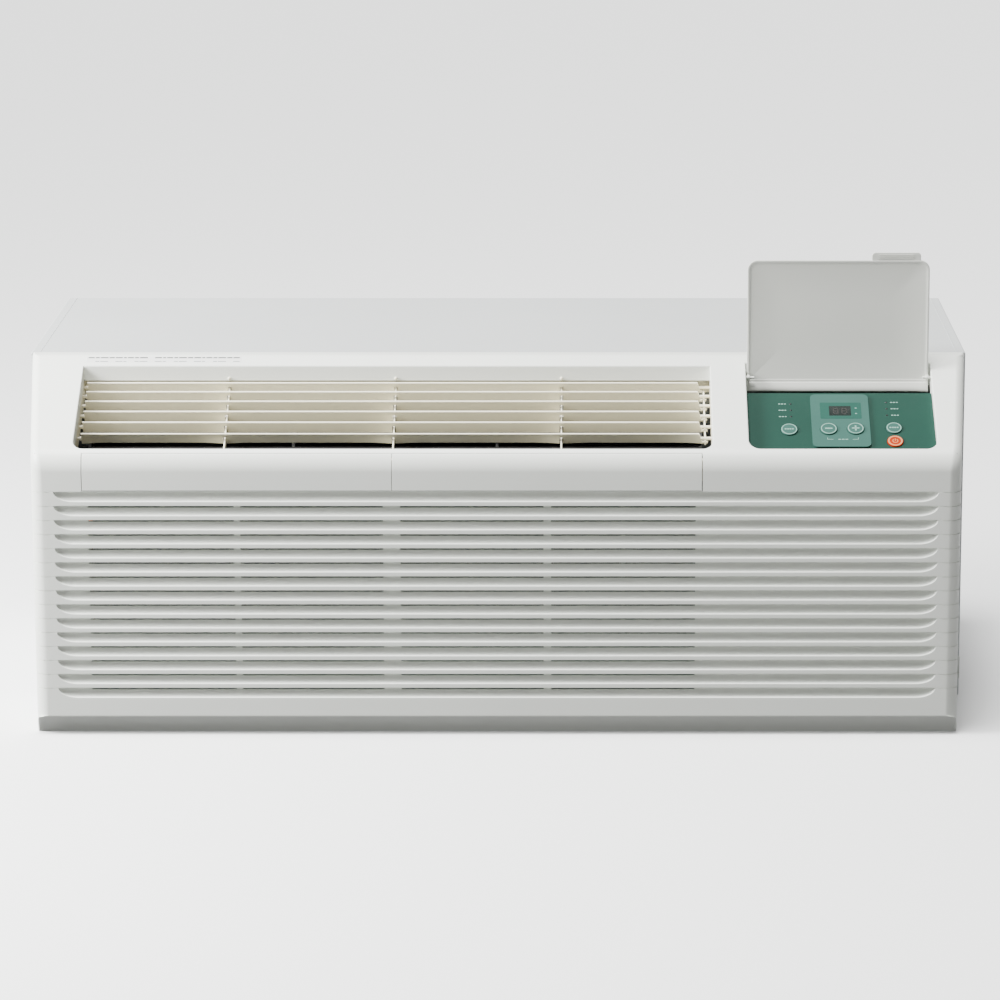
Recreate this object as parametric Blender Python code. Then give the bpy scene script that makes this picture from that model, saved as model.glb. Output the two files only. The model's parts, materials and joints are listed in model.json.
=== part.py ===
# Packaged terminal air conditioner: a sheet-metal wall sleeve with a slide-in chassis and a
# moulded room-side cover. Metres, +Z up, the room side faces -Y, origin under the middle.
import math

import bpy
import bmesh
from mathutils import Matrix, Vector

for oldObject in list(bpy.data.objects):
    bpy.data.objects.remove(oldObject)

# Overall sizes
sleeveWidth = 1.067
cabinetHeight = 0.406
sleeveDepth = 0.349
coverDepth = 0.165
gap = 0.0003

# Wall sleeve, base pan and bulkhead
sleeveWall = 0.002
panClearance = 0.0006
panGauge = 0.0018
panLip = 0.015
panFrontForward = 0.130
panRearMargin = 0.016
bulkheadForward = -0.012
bulkheadGauge = 0.0018
bulkheadTopClearance = 0.008
ventLeft = -0.490
ventRight = -0.400
ventBottom = 0.060
ventTop = 0.150
ventLap = 0.004
ventGauge = 0.0016
pipeHoleX = 0.300
pipeHoleZ = 0.090
pipeHoleHalfWidth = 0.030
pipeHoleBelow = 0.040
pipeHoleAbove = 0.050

grilleSetback = 0.004
grilleGauge = 0.0035
grilleBorder = 0.022
grilleColumns = 4
grilleRows = 15
grilleOpenShare = 0.55

# Room cover
coverSideInset = 0.0017
coverDraft = math.radians(5.6)
coverWall = 0.0025
coverFrontWall = 0.0087
coverEdgeRound = 0.006
toeHeight = 0.022
toeSetback = 0.017
slopeAngle = math.radians(30.0)
slopeTopForward = 0.0157
bendRadius = 0.030
topRadius = 0.012

# Intake louvres
grooveCount = 15
groovePitch = 0.01609
grooveHeight = 0.0116
grooveDepth = 0.0065
grooveTop = 0.2802
grooveHalfWidth = 0.491
grooveEndRound = 0.022
slotHeight = 0.0032

# Air outlet with its six blades
outletLeft = -0.470
outletRight = 0.2406
outletBackForward = 0.032
outletFrontForward = 0.152
outletCorner = 0.011
collarDrop = 0.017
frameDrop = 0.024
frameWall = 0.0025
frameFrontForward = 0.1475
frameBackForward = 0.016
ribPlaces = (-0.3049, -0.1159, 0.0723)
ribGauge = 0.0016
bladeCount = 6
bladeFirstForward = 0.035
bladePitchFirst = 0.0132
bladePitchStep = 0.00085
bladeChord = 0.017
bladeGauge = 0.002
bladeLean = math.radians(35.0)
bladeEndClearance = 0.004
bladeLinkSpace = 0.0096
bladePin = 0.0018
crankPin = 0.0015
crankThrow = 0.006
linkWidth = 0.005
linkGauge = 0.0016
runningGap = 0.0005

# Control recess, keypad and door
recessLeft = 0.281
recessRight = 0.4905
recessBackForward = 0.0275
recessCorner = 0.0125
recessCollar = 0.026
keypadDepth = 0.010
keypadGauge = 0.003
keypadBackForward = 0.052
displayPlinthLeft = 0.3525
displayPlinthRight = 0.4176
displayPlinthRise = 0.0025
doorCentre = 0.385
doorWidth = 0.2055
doorLength = 0.148
doorGauge = 0.003
doorCorner = 0.011
doorRim = 0.005
doorDish = 0.0012
doorTail = 0.0145
doorPivotForward = 0.0436
doorPivotDepth = 0.004
doorLift = 0.0006
tabLeft = 0.4222
tabRight = 0.4776
tabLength = 0.009
knuckleRadius = 0.004
knuckleLength = 0.008
hingePinRadius = 0.0015
buttonRise = 0.0015
buttonFlange = 0.0012
buttonFlangeReach = 0.0015
buttonTravel = 0.0010
buttonEdge = 0.0008
plinthBackForward = 0.0619
plinthFrontForward = 0.1378
plinthCorner = 0.006
displayLeft = 0.3635
displayRight = 0.4084
displayBackForward = 0.0748
displayFrontForward = 0.0968
boardMargin = 0.020
boardDrop = 0.0164
boardGauge = 0.0016
# name, X, distance in front of the sleeve's edge, radius, height of the surface it stands on, material
buttons = (
    ("button_mode", 0.3272, 0.1115, 0.0095, 0.0, "button"),
    ("button_minus", 0.3712, 0.1130, 0.0095, displayPlinthRise, "button"),
    ("button_plus", 0.4013, 0.1126, 0.0095, displayPlinthRise, "button"),
    ("button_fan", 0.4445, 0.1094, 0.0090, 0.0, "button"),
    ("button_power", 0.4447, 0.1284, 0.0090, 0.0, "power"),
)

# Filters
filterLeft = -0.4593
filterMiddle = -0.1155
filterRight = 0.2286
filterGauge = 0.003
filterBottom = 0.030
filterTilt = math.radians(8.0)
flapGauge = 0.0022
flapBackForward = 0.157
flapGap = 0.0006
flapRest = 0.0008

# Indoor air path
blowerForward = 0.052
blowerHeight = 0.292
blowerRadius = 0.042
blowerWall = 0.009
blowerSlots = 14
blowerSections = 3
scrollClearance = 0.006
scrollGauge = 0.002
blowerEndSpace = 0.010
blowerDisc = 0.003
blowerSlotWidth = 0.009
blowerBoss = 0.010
shaftRadius = 0.004
bearingGauge = 0.008
bearingHalfDepth = 0.014
bearingFoot = 0.050
blowerMotorRadius = 0.038
blowerMotorLength = 0.060
coilHeight = 0.214
coilBottom = 0.026
coilBackForward = 0.085
coilFrontForward = 0.110
coilPlate = 0.002
coilPlateLap = 0.003
coilLeftSpace = 0.005
coilRightSpace = 0.006
trayWall = 0.004
trayTop = 0.020
trayFloor = 0.008
trayBackForward = 0.072
trayFrontForward = 0.122
heaterForward = 0.066
heaterPasses = 5
heaterPitch = 0.028
heaterBottom = 0.090
heaterEndSpace = 0.020
heaterRadius = 0.0035
heaterBend = 0.012
controlBoxLeft = 0.345
controlBoxRight = 0.500
controlBoxBottom = 0.120
controlBoxTop = 0.280
controlBoxBackForward = 0.030
controlBoxFrontForward = 0.125
controlBoxGauge = 0.0015
capacitorX = 0.385
capacitorForward = 0.070
capacitorRadius = 0.0225
capacitorHeight = 0.105
transformerLeft = 0.430
transformerRight = 0.480
glandBody = 0.009
glandFlange = 0.013
glandBore = 0.0045
glandForward = 0.024
glandHeight = 0.040

# Outdoor side
fanCentreX = -0.110
fanCentreZ = 0.196
fanRadius = 0.140
fanBlades = 5
fanHubRadius = 0.030
fanWidth = 0.024
fanForward = -0.236
shroudForward = -0.262
condenserForward = -0.290
condenserThickness = 0.026
compressorX = 0.320
compressorForward = -0.140
compressorRadius = 0.070
compressorTop = 0.270
compressorFoot = 0.026
compressorEar = 0.014
compressorEarHalfWidth = 0.016
earGauge = 0.003
earBite = 0.0008
grommetRadius = 0.011
grommetWaist = 0.0085
accumulatorX = 0.445
accumulatorForward = -0.110
accumulatorRadius = 0.024
accumulatorBottom = 0.055
accumulatorTop = 0.220
condenserLeft = -0.430
condenserRight = 0.440
shroudLeft = -0.440
shroudRight = 0.225
shroudGauge = 0.002
shroudTipClearance = 0.006
motorBackForward = -0.205
motorFrontForward = -0.120
motorRadius = 0.052
bracketHalfWidth = 0.066
bracketHalfGauge = 0.009
bracketLeg = 0.020
suctionRadius = 0.006
dischargeRadius = 0.0045
liquidRadius = 0.004
pipeStart = 0.001
sidePipeX = 0.462
sidePipeForward = -0.303
dischargeHeight = 0.310
liquidHeight = 0.060
fanBladeHalfChord = 0.042
fanBladeHalfGauge = 0.0012
fanBladePitch = math.radians(14.0)
slingerWidth = 0.004

# Positions that follow from the sizes above
frontY = -(sleeveDepth + coverDepth) / 2
junctionY = frontY + coverDepth
backY = junctionY + sleeveDepth
panFloor = max(sleeveWall, coverWall) + gap
panTop = panFloor + panGauge
panHalfWidth = (sleeveWidth / 2 - coverSideInset - panFrontForward * math.tan(coverDraft)
                - coverWall - panClearance)
rearForward = -sleeveDepth
coilLeft = outletLeft + coilLeftSpace
coilRight = outletRight - coilRightSpace
blowerLeft = outletLeft + blowerEndSpace
blowerRight = outletRight - blowerEndSpace
bladeLeft = outletLeft + bladeEndClearance
bladeRight = outletRight - bladeLinkSpace


def forward(distance):
    # world Y of a place this far in front of the sleeve's room-side edge
    return junctionY - distance


def coverHalfWidth(distance):
    # half the cover's width this far in front of the sleeve's edge; its ends are drafted
    return sleeveWidth / 2 - coverSideInset - distance * math.tan(coverDraft)


def slopeHeight(distance):
    # world Z of the sloping top this far in front of the sleeve's edge
    return cabinetHeight - (distance - slopeTopForward) * math.tan(slopeAngle)


def makeMaterial(name, colour, roughness, metallic=0.0):
    material = bpy.data.materials.new(name)
    material.use_nodes = True
    shader = material.node_tree.nodes["Principled BSDF"]
    shader.inputs["Base Color"].default_value = (*colour, 1.0)
    shader.inputs["Roughness"].default_value = roughness
    shader.inputs["Metallic"].default_value = metallic
    return material


materials = {
    "cover": makeMaterial("cover_plastic", (0.80, 0.81, 0.78), 0.45),
    "sleeve": makeMaterial("sleeve_paint", (0.68, 0.69, 0.67), 0.5),
    "blade": makeMaterial("blade_plastic", (0.80, 0.77, 0.62), 0.5),
    "keypad": makeMaterial("keypad_film", (0.10, 0.25, 0.20), 0.4),
    "display": makeMaterial("display_window", (0.02, 0.03, 0.03), 0.1),
    "button": makeMaterial("button_plastic", (0.16, 0.34, 0.27), 0.45),
    "power": makeMaterial("power_button", (0.80, 0.16, 0.04), 0.4),
    "door": makeMaterial("door_plastic", (0.72, 0.73, 0.69), 0.4),
    "filter": makeMaterial("filter_frame", (0.62, 0.63, 0.60), 0.6),
    "zinc": makeMaterial("zinc_sheet", (0.55, 0.56, 0.57), 0.4, 0.9),
    "fin": makeMaterial("coil_fins", (0.75, 0.76, 0.77), 0.35, 1.0),
    "copper": makeMaterial("copper_pipe", (0.72, 0.40, 0.25), 0.3, 1.0),
    "black": makeMaterial("black_paint", (0.03, 0.03, 0.035), 0.5),
    "rubber": makeMaterial("rubber_mount", (0.04, 0.04, 0.04), 0.8),
    "fan": makeMaterial("fan_plastic", (0.12, 0.12, 0.13), 0.55),
    "foam": makeMaterial("scroll_foam", (0.85, 0.85, 0.84), 0.9),
    "board": makeMaterial("circuit_board", (0.05, 0.22, 0.09), 0.5),
    "steel": makeMaterial("steel_pin", (0.60, 0.60, 0.62), 0.3, 1.0),
    "grille": makeMaterial("rear_grille_alloy", (0.63, 0.64, 0.65), 0.4, 0.8),
    "heater": makeMaterial("heater_sheath", (0.30, 0.29, 0.28), 0.5, 0.9),
}


def addNode(name, bm, key, location=(0.0, 0.0, 0.0), turnX=0.0, smooth=False):
    bmesh.ops.recalc_face_normals(bm, faces=bm.faces)
    mesh = bpy.data.meshes.new(name)
    bm.to_mesh(mesh)
    bm.free()
    if smooth:
        mesh.shade_smooth()
        mesh.set_sharp_from_angle(angle=math.radians(35.0))
    mesh.materials.append(materials[key])
    node = bpy.data.objects.new(name, mesh)
    node.location = location
    node.rotation_euler = (turnX, 0.0, 0.0)
    bpy.context.scene.collection.objects.link(node)
    return node


def bmeshOf(obj):
    # the object's evaluated shape, in its own coordinates
    graph = bpy.context.evaluated_depsgraph_get()
    evaluated = obj.evaluated_get(graph)
    mesh = evaluated.to_mesh()
    bm = bmesh.new()
    bm.from_mesh(mesh)
    evaluated.to_mesh_clear()
    return bm


def combine(target, tool, operation):
    # target and tool are bmeshes; both are used up and the result is a new bmesh
    bodies = []
    for bm in (target, tool):
        bmesh.ops.recalc_face_normals(bm, faces=bm.faces)
        mesh = bpy.data.meshes.new("work")
        bm.to_mesh(mesh)
        bm.free()
        body = bpy.data.objects.new("work", mesh)
        bpy.context.scene.collection.objects.link(body)
        bodies.append(body)
    modifier = bodies[0].modifiers.new("combine", "BOOLEAN")
    modifier.operation = operation
    modifier.solver = "EXACT"
    modifier.object = bodies[1]
    bpy.context.view_layer.update()
    result = bmeshOf(bodies[0])
    for body in bodies:
        mesh = body.data
        bpy.data.objects.remove(body)
        bpy.data.meshes.remove(mesh)
    return result


def cut(target, tool):
    return combine(target, tool, "DIFFERENCE")


def unite(target, tool):
    return combine(target, tool, "UNION")


def appendShape(target, tool):
    # adds a separate shape to a set of cutters that don't touch each other
    mesh = bpy.data.meshes.new("work")
    tool.to_mesh(mesh)
    tool.free()
    target.from_mesh(mesh)
    bpy.data.meshes.remove(mesh)
    return target


def prism(outline, axis, start, end):
    # a closed outline in the plane across the axis, pushed along it
    order = {"X": lambda a, b, t: (t, a, b), "Y": lambda a, b, t: (a, t, b), "Z": lambda a, b, t: (a, b, t)}
    bm = bmesh.new()
    ring = [bm.verts.new(order[axis](a, b, start)) for a, b in outline]
    face = bm.faces.new(ring)
    pushed = bmesh.ops.extrude_face_region(bm, geom=[face])
    offset = Vector(order[axis](0.0, 0.0, end - start))
    moved = [item for item in pushed["geom"] if isinstance(item, bmesh.types.BMVert)]
    bmesh.ops.translate(bm, verts=moved, vec=offset)
    bmesh.ops.recalc_face_normals(bm, faces=bm.faces)
    return bm


def box(low, high):
    outline = [(low[0], low[1]), (high[0], low[1]), (high[0], high[1]), (low[0], high[1])]
    return prism(outline, "Z", low[2], high[2])


def blockBetween(left, right, backForward, frontForward, bottom, top):
    # a box given by its X range, its distances in front of the sleeve's edge and its Z range
    return box((left, forward(frontForward), bottom), (right, forward(backForward), top))


def turned(profile, segments, ring=False):
    # a profile of (radius, height) turned about Z; a ring's profile is a closed loop
    bm = bmesh.new()
    rows = []
    for radius, height in profile:
        if radius == 0.0:
            rows.append([bm.verts.new((0.0, 0.0, height))])
            continue
        row = []
        for step in range(segments):
            angle = 2 * math.pi * step / segments
            row.append(bm.verts.new((radius * math.cos(angle), radius * math.sin(angle), height)))
        rows.append(row)
    pairs = list(zip(rows, rows[1:]))
    if ring:
        pairs.append((rows[-1], rows[0]))
    for lower, upper in pairs:
        for step in range(segments):
            after = (step + 1) % segments
            corners = [lower[step % len(lower)], lower[after % len(lower)],
                       upper[after % len(upper)], upper[step % len(upper)]]
            unique = list(dict.fromkeys(corners))
            if len(unique) > 2:
                bm.faces.new(unique)
    bmesh.ops.recalc_face_normals(bm, faces=bm.faces)
    return bm


def rod(radius, length, segments=16):
    return turned([(0.0, 0.0), (radius, 0.0), (radius, length), (0.0, length)], segments)


def moved(bm, location=(0.0, 0.0, 0.0), axis=None, angle=0.0):
    matrix = Matrix.Translation(location)
    if axis:
        matrix = matrix @ Matrix.Rotation(angle, 4, axis)
    bmesh.ops.transform(bm, matrix=matrix, verts=bm.verts)
    return bm


def alongX(bm, location):
    # turns a shape made along Z so that it runs along +X
    return moved(bm, location, "Y", math.pi / 2)


def alongY(bm, location):
    # turns a shape made along Z so that it runs along -Y
    return moved(bm, location, "X", math.pi / 2)


def filleted(corners, stepAngle=math.radians(15.0)):
    # corners are (a, b, radius); a radius of zero keeps the corner sharp
    outline = []
    count = len(corners)
    for index, (a, b, radius) in enumerate(corners):
        here = Vector((a, b))
        if radius == 0.0:
            outline.append((a, b))
            continue
        before = (Vector(corners[index - 1][:2]) - here).normalized()
        after = (Vector(corners[(index + 1) % count][:2]) - here).normalized()
        half = before.angle(after) / 2
        centre = here + (before + after).normalized() * (radius / math.sin(half))
        start = here + before * (radius / math.tan(half)) - centre
        end = here + after * (radius / math.tan(half)) - centre
        turn = start.angle_signed(end)
        steps = max(2, round(abs(turn) / stepAngle))
        for step in range(steps + 1):
            arm = start.copy()
            arm.rotate(Matrix.Rotation(-turn * step / steps, 2))
            outline.append(tuple(centre + arm))
    return outline


def insetCorners(corners, insets):
    # moves each edge of a counter-clockwise outline inward; edge i runs from corner i to i + 1
    lines = []
    for index, inset in enumerate(insets):
        here = Vector(corners[index])
        along = (Vector(corners[(index + 1) % len(corners)]) - here).normalized()
        inward = Vector((-along.y, along.x))
        lines.append((here + inward * inset, along))
    shifted = []
    for index, (point, along) in enumerate(lines):
        beforePoint, beforeAlong = lines[index - 1]
        across = along.x * beforeAlong.y - along.y * beforeAlong.x
        offset = beforePoint - point
        distance = (offset.x * beforeAlong.y - offset.y * beforeAlong.x) / across
        shifted.append(tuple(point + along * distance))
    return shifted


def roundedRectangle(low, high, radius):
    corners = [(low[0], low[1], radius), (high[0], low[1], radius),
               (high[0], high[1], radius), (low[0], high[1], radius)]
    return filleted(corners)


def roundedPath(points, bend, steps=4):
    # a path through the points with each inner corner rounded by a short curve
    path = [Vector(points[0])]
    for before, here, after in zip(points, points[1:], points[2:]):
        corner = Vector(here)
        start = corner + (Vector(before) - corner).normalized() * bend
        end = corner + (Vector(after) - corner).normalized() * bend
        for step in range(steps + 1):
            part = step / steps
            path.append(start * (1 - part) ** 2 + corner * 2 * part * (1 - part) + end * part ** 2)
    path.append(Vector(points[-1]))
    return path


def addPipe(name, points, radius, bend, key):
    curve = bpy.data.curves.new(name, "CURVE")
    curve.dimensions = "3D"
    curve.bevel_depth = radius
    curve.bevel_resolution = 2
    curve.use_fill_caps = True
    path = roundedPath(points, bend)
    spline = curve.splines.new("POLY")
    spline.points.add(len(path) - 1)
    for point, place in zip(spline.points, path):
        point.co = (*place, 1.0)
    curve.materials.append(materials[key])
    pipe = bpy.data.objects.new(name, curve)
    bpy.context.scene.collection.objects.link(pipe)


# Side outline of the cover, counter-clockwise seen from +X with Y to the right
def coverCorners():
    return [
        (forward(gap), 0.0),
        (forward(gap), cabinetHeight),
        (forward(slopeTopForward), cabinetHeight),
        (forward(coverDepth), slopeHeight(coverDepth)),
        (forward(coverDepth), toeHeight),
        (forward(coverDepth - toeSetback), 0.0),
    ]


coverRadii = (0.0, 0.0, topRadius, bendRadius, 0.004, 0.003)


def drafted(bm, inset):
    # brings the ends of a cover-wide prism in to the cover's drafted ends
    for vert in bm.verts:
        half = coverHalfWidth(junctionY - vert.co.y) - inset
        vert.co.x = math.copysign(half, vert.co.x)
    return bm


def coverSolid():
    corners = [(y, z, radius) for (y, z), radius in zip(coverCorners(), coverRadii)]
    half = sleeveWidth / 2
    bm = prism(filleted(corners), "X", -half, half)
    rim = []
    for edge in bm.edges:
        first, second = edge.verts
        inEnd = abs(first.co.x) > half - gap and abs(first.co.x - second.co.x) < gap
        atBack = first.co.y > forward(2 * gap) and second.co.y > forward(2 * gap)
        if inEnd and not atBack:
            rim.append(edge)
    drafted(bm, 0.0)
    bmesh.ops.bevel(bm, geom=rim, offset=coverEdgeRound, segments=2, profile=0.5, affect="EDGES")
    return bm


def coverInside():
    insets = (-0.010, coverWall, coverWall, coverFrontWall, coverWall, coverWall)
    inner = insetCorners(coverCorners(), insets)
    half = sleeveWidth / 2
    bm = drafted(prism(inner, "X", -half, half), coverWall)
    bm = cut(bm, slopeBlock(outletLeft - coverWall, outletRight + coverWall,
                            outletBackForward - coverWall, outletFrontForward + coverWall, collarDrop))
    return cut(bm, slopeBlock(recessLeft - coverWall, recessRight + coverWall,
                              recessBackForward - coverWall, outletFrontForward + coverWall, recessCollar))


def slopeBlock(left, right, backForward, frontForward, drop, above=0.06):
    # a block with upright sides whose floor runs parallel to the sloping top
    outline = [(forward(distance), slopeHeight(distance) + rise)
               for distance, rise in ((backForward, -drop), (frontForward, -drop),
                                      (frontForward, above), (backForward, above))]
    return prism(outline, "X", left, right)


def wellCutter(left, right, backForward, frontForward, corner):
    low, high = forward(frontForward), forward(backForward)
    outline = filleted([(left, low, corner), (right, low, corner), (right, high, 0.0), (left, high, 0.0)])
    return prism(outline, "Z", slopeHeight(frontForward) - 0.05, cabinetHeight + 0.05)


def grooveCutter(top):
    # a shingle-like groove: an undercut ledge above, a face that slopes out to the lower lip
    proud = 0.001
    lip = top - grooveHeight * (grooveDepth + proud) / grooveDepth
    straight = grooveHalfWidth - grooveEndRound
    bm = bmesh.new()
    corner = 3
    for side in (-1, 1):
        bm.verts.new((side * grooveHalfWidth, forward(coverDepth + proud), top))
        bm.verts.new((side * (straight + grooveEndRound / 3), forward(coverDepth - grooveDepth), top))
        for step in range(corner + 1):
            angle = math.pi / 2 * step / corner
            x = straight + grooveEndRound * math.cos(angle)
            z = top - (top - lip) * math.sin(angle)
            bm.verts.new((side * x, forward(coverDepth + proud), z))
    bmesh.ops.remove_doubles(bm, verts=bm.verts, dist=0.0001)
    hull = bmesh.ops.convex_hull(bm, input=bm.verts)
    unused = hull["geom_interior"] + hull["geom_unused"]
    loose = [item for item in unused if isinstance(item, bmesh.types.BMVert)]
    bmesh.ops.delete(bm, geom=loose, context="VERTS")
    return bm


def intakeColumns():
    # left and right ends of the four columns of through slots, between the cover's ribs
    rail = 0.0081
    columnGap = 0.0125
    shift = 0.0155
    edges = [filterLeft + rail, ribPlaces[0] + shift, ribPlaces[1], ribPlaces[2] - shift, filterRight - rail]
    return [(left + columnGap / 4, right - columnGap / 4) for left, right in zip(edges, edges[1:])]


def grooveTops():
    return [grooveTop - groovePitch * index for index in range(grooveCount)]


def onRightEnd(bm):
    # stands a shape made along Z on the cover's drafted right end, where the cord gland sits
    upright = Matrix.Translation((coverHalfWidth(glandForward), forward(glandForward), glandHeight))
    turn = Matrix.Rotation(-coverDraft, 4, "Z") @ Matrix.Rotation(math.pi / 2, 4, "Y")
    bmesh.ops.transform(bm, matrix=upright @ turn, verts=bm.verts)
    return bm


def makeFrontCover():
    bm = cut(coverSolid(), coverInside())
    bm = cut(bm, wellCutter(outletLeft, outletRight, outletBackForward, outletFrontForward, outletCorner))
    bm = cut(bm, wellCutter(recessLeft, recessRight, recessBackForward, outletFrontForward, recessCorner))
    slotBottom = grooveTop + flapRest
    bm = cut(bm, blockBetween(filterLeft - flapGap, filterRight + flapGap, flapBackForward,
                              coverDepth + 0.01, slotBottom, cabinetHeight))
    bm = cut(bm, blockBetween(filterLeft - flapGap, filterRight + flapGap, flapBackForward - 0.005,
                              coverDepth, slotBottom, bendHeight(flapBackForward) - 1.5 * coverWall))
    grooves = bmesh.new()
    for top in grooveTops():
        grooves = appendShape(grooves, grooveCutter(top))
    bm = cut(bm, grooves)
    slots = bmesh.new()
    for top in grooveTops()[1:]:
        for left, right in intakeColumns():
            slots = appendShape(slots, blockBetween(left, right, coverDepth - 2 * coverFrontWall,
                                                    coverDepth - 0.0045, top - slotHeight, top - gap))
    bm = cut(bm, slots)
    pinHoles = bmesh.new()
    for edge in (recessLeft, recessRight):
        hole = alongX(rod(hingePinRadius + gap, 0.012, 12), (edge - 0.006, doorPivot[1], doorPivot[2]))
        pinHoles = appendShape(pinHoles, hole)
    bm = cut(bm, pinHoles)
    bm = cut(bm, onRightEnd(moved(rod(glandBody + gap, 0.02), (0.0, 0.0, -0.01))))
    addNode("front_cover", bm, "cover", smooth=True)


def makeWallSleeve():
    half = sleeveWidth / 2
    bm = box((-half, junctionY, 0.0), (half, backY, cabinetHeight))
    inner = box((-half + sleeveWall, junctionY - 0.01, sleeveWall),
                (half - sleeveWall, backY + 0.01, cabinetHeight - sleeveWall))
    addNode("wall_sleeve", cut(bm, inner), "sleeve")


def makeRearGrille():
    # stamped alloy outdoor grille: columns of level slots in a plate
    half = sleeveWidth / 2 - sleeveWall - runningGap
    bottom = sleeveWall + runningGap
    top = cabinetHeight - sleeveWall - runningGap
    bm = box((-half, backY - grilleSetback - grilleGauge, bottom), (half, backY - grilleSetback, top))
    slots = bmesh.new()
    columnWidth = (2 * half - grilleBorder) / grilleColumns
    rowHeight = (top - bottom - grilleBorder) / grilleRows
    for column in range(grilleColumns):
        left = -half + grilleBorder + column * columnWidth
        right = left + columnWidth - grilleBorder
        for row in range(grilleRows):
            low = bottom + grilleBorder + row * rowHeight
            high = low + rowHeight * grilleOpenShare
            slots = appendShape(slots, box((left, backY - 0.02, low), (right, backY, high)))
    addNode("rear_grille", cut(bm, slots), "grille")


def makeBasePan():
    rear = rearForward + panRearMargin
    bm = blockBetween(-panHalfWidth, panHalfWidth, rear, panFrontForward, panFloor, panFloor + panLip)
    inner = blockBetween(-panHalfWidth + panGauge, panHalfWidth - panGauge, rear + panGauge,
                         panFrontForward - panGauge, panTop, panFloor + panLip + 0.01)
    addNode("base_pan", cut(bm, inner), "zinc")


def makeBulkhead():
    half = panHalfWidth - panGauge - gap
    back = bulkheadForward - bulkheadGauge
    top = cabinetHeight - bulkheadTopClearance
    bm = blockBetween(-half, half, back, bulkheadForward, panTop + gap, top)
    holes = blockBetween(ventLeft, ventRight, back - 0.01, bulkheadForward + 0.01, ventBottom, ventTop)
    pipeHole = blockBetween(pipeHoleX - pipeHoleHalfWidth, pipeHoleX + pipeHoleHalfWidth, back - 0.01,
                            bulkheadForward + 0.01, pipeHoleZ - pipeHoleBelow, pipeHoleZ + pipeHoleAbove)
    holes = appendShape(holes, pipeHole)
    addNode("bulkhead", cut(bm, holes), "zinc")


def makeVentDoor():
    hinge = ventTop + ventLap
    drop = hinge - (ventBottom - ventLap)
    bm = box((ventLeft - ventLap, -gap - ventGauge, -drop), (ventRight + ventLap, -gap, 0.0))
    addNode("vent_door", bm, "zinc", (0.0, forward(bulkheadForward), hinge))


def makeCoil(name, left, right, backForward, frontForward, bottom, top):
    # a finned block between two end plates
    lap = coilPlateLap
    bm = blockBetween(left, right, backForward, frontForward, bottom, top)
    for x in (left - coilPlate, right - gap):
        plate = blockBetween(x, x + coilPlate + gap, backForward - lap / 2, frontForward + lap / 2,
                             bottom - lap, top + lap)
        bm = unite(bm, plate)
    addNode(name, bm, "fin")


def makeCompressor():
    foot = compressorFoot
    radius = compressorRadius
    top = compressorTop
    shell = [(0.0, foot), (radius * 0.82, foot), (radius, foot + 0.018), (radius, top - 0.034),
             (radius * 0.93, top - 0.014), (radius * 0.70, top - 0.003), (0.0, top)]
    bm = turned(shell, 28)
    for step in range(3):
        angle = math.radians(90.0 + 120.0 * step)
        ear = box((-compressorEarHalfWidth, 0.0, foot - earGauge),
                  (compressorEarHalfWidth, radius + compressorEar, foot + earBite))
        bm = unite(bm, moved(ear, (0.0, 0.0, 0.0), "Z", angle - math.pi / 2))
    addNode("compressor", bm, "black", (compressorX, forward(compressorForward), 0.0), smooth=True)
    for step in range(3):
        angle = math.radians(90.0 + 120.0 * step)
        across, along = radius * math.cos(angle), radius * math.sin(angle)
        place = (compressorX + across, forward(compressorForward) + along, 0.0)
        low = panTop + gap
        high = foot - earGauge - gap
        waist = (low + high) / 2
        profile = [(0.0, low), (grommetRadius, low), (grommetWaist, waist), (grommetRadius, high), (0.0, high)]
        addNode("compressor_grommet_" + str(step + 1), turned(profile, 14), "rubber", place, smooth=True)


def makeAccumulator():
    # a spun can on a stem that stands in the pan
    low = panTop + gap
    radius = accumulatorRadius
    stem = radius / 4
    bottom, top = accumulatorBottom, accumulatorTop
    profile = [(0.0, low), (0.010, low), (stem, low + 0.012), (stem, bottom), (radius, bottom + 0.015),
               (radius, top - 0.015), (radius * 0.7, top - 0.004), (stem, top), (0.0, top)]
    place = (accumulatorX, forward(accumulatorForward), 0.0)
    addNode("accumulator", turned(profile, 20), "black", place, smooth=True)


def makePipes():
    # the suction, discharge and liquid lines between the coils and the compressor
    indoor = coilRight + coilPlate + pipeStart
    outdoor = condenserRight + coilPlate + pipeStart
    front = coilFrontForward - 0.010
    rear = sidePipeForward
    pump = forward(compressorForward)
    can = forward(accumulatorForward)
    across = pipeHoleZ + 0.020
    suction = [(indoor, front, 0.200), (pipeHoleX, front, 0.200), (pipeHoleX, 0.060, across),
               (pipeHoleX, -0.045, across), (0.400, -0.050, 0.250)]
    suction = [(x, forward(distance), z) for x, distance, z in suction]
    suction.append((accumulatorX, can, accumulatorTop + 0.042))
    suction.append((accumulatorX, can, accumulatorTop + pipeStart))
    addPipe("suction_pipe", suction, suctionRadius, 0.016, "copper")
    discharge = [(0.400, -0.200, dischargeHeight), (sidePipeX, -0.240, dischargeHeight),
                 (sidePipeX, rear, dischargeHeight), (outdoor, rear, dischargeHeight)]
    discharge = [(x, forward(distance), z) for x, distance, z in discharge]
    riser = [(compressorX, pump, compressorTop + pipeStart), (compressorX, pump, dischargeHeight)]
    discharge = riser + discharge
    addPipe("discharge_pipe", discharge, dischargeRadius, 0.014, "copper")
    liquid = [(indoor, front - 0.002), (pipeHoleX + 0.018, front - 0.002), (pipeHoleX + 0.018, -0.040),
              (sidePipeX + 0.018, -0.048), (sidePipeX + 0.018, rear), (outdoor, rear)]
    liquid = [(x, forward(distance), liquidHeight) for x, distance in liquid]
    addPipe("liquid_pipe", liquid, liquidRadius, 0.014, "copper")


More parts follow.
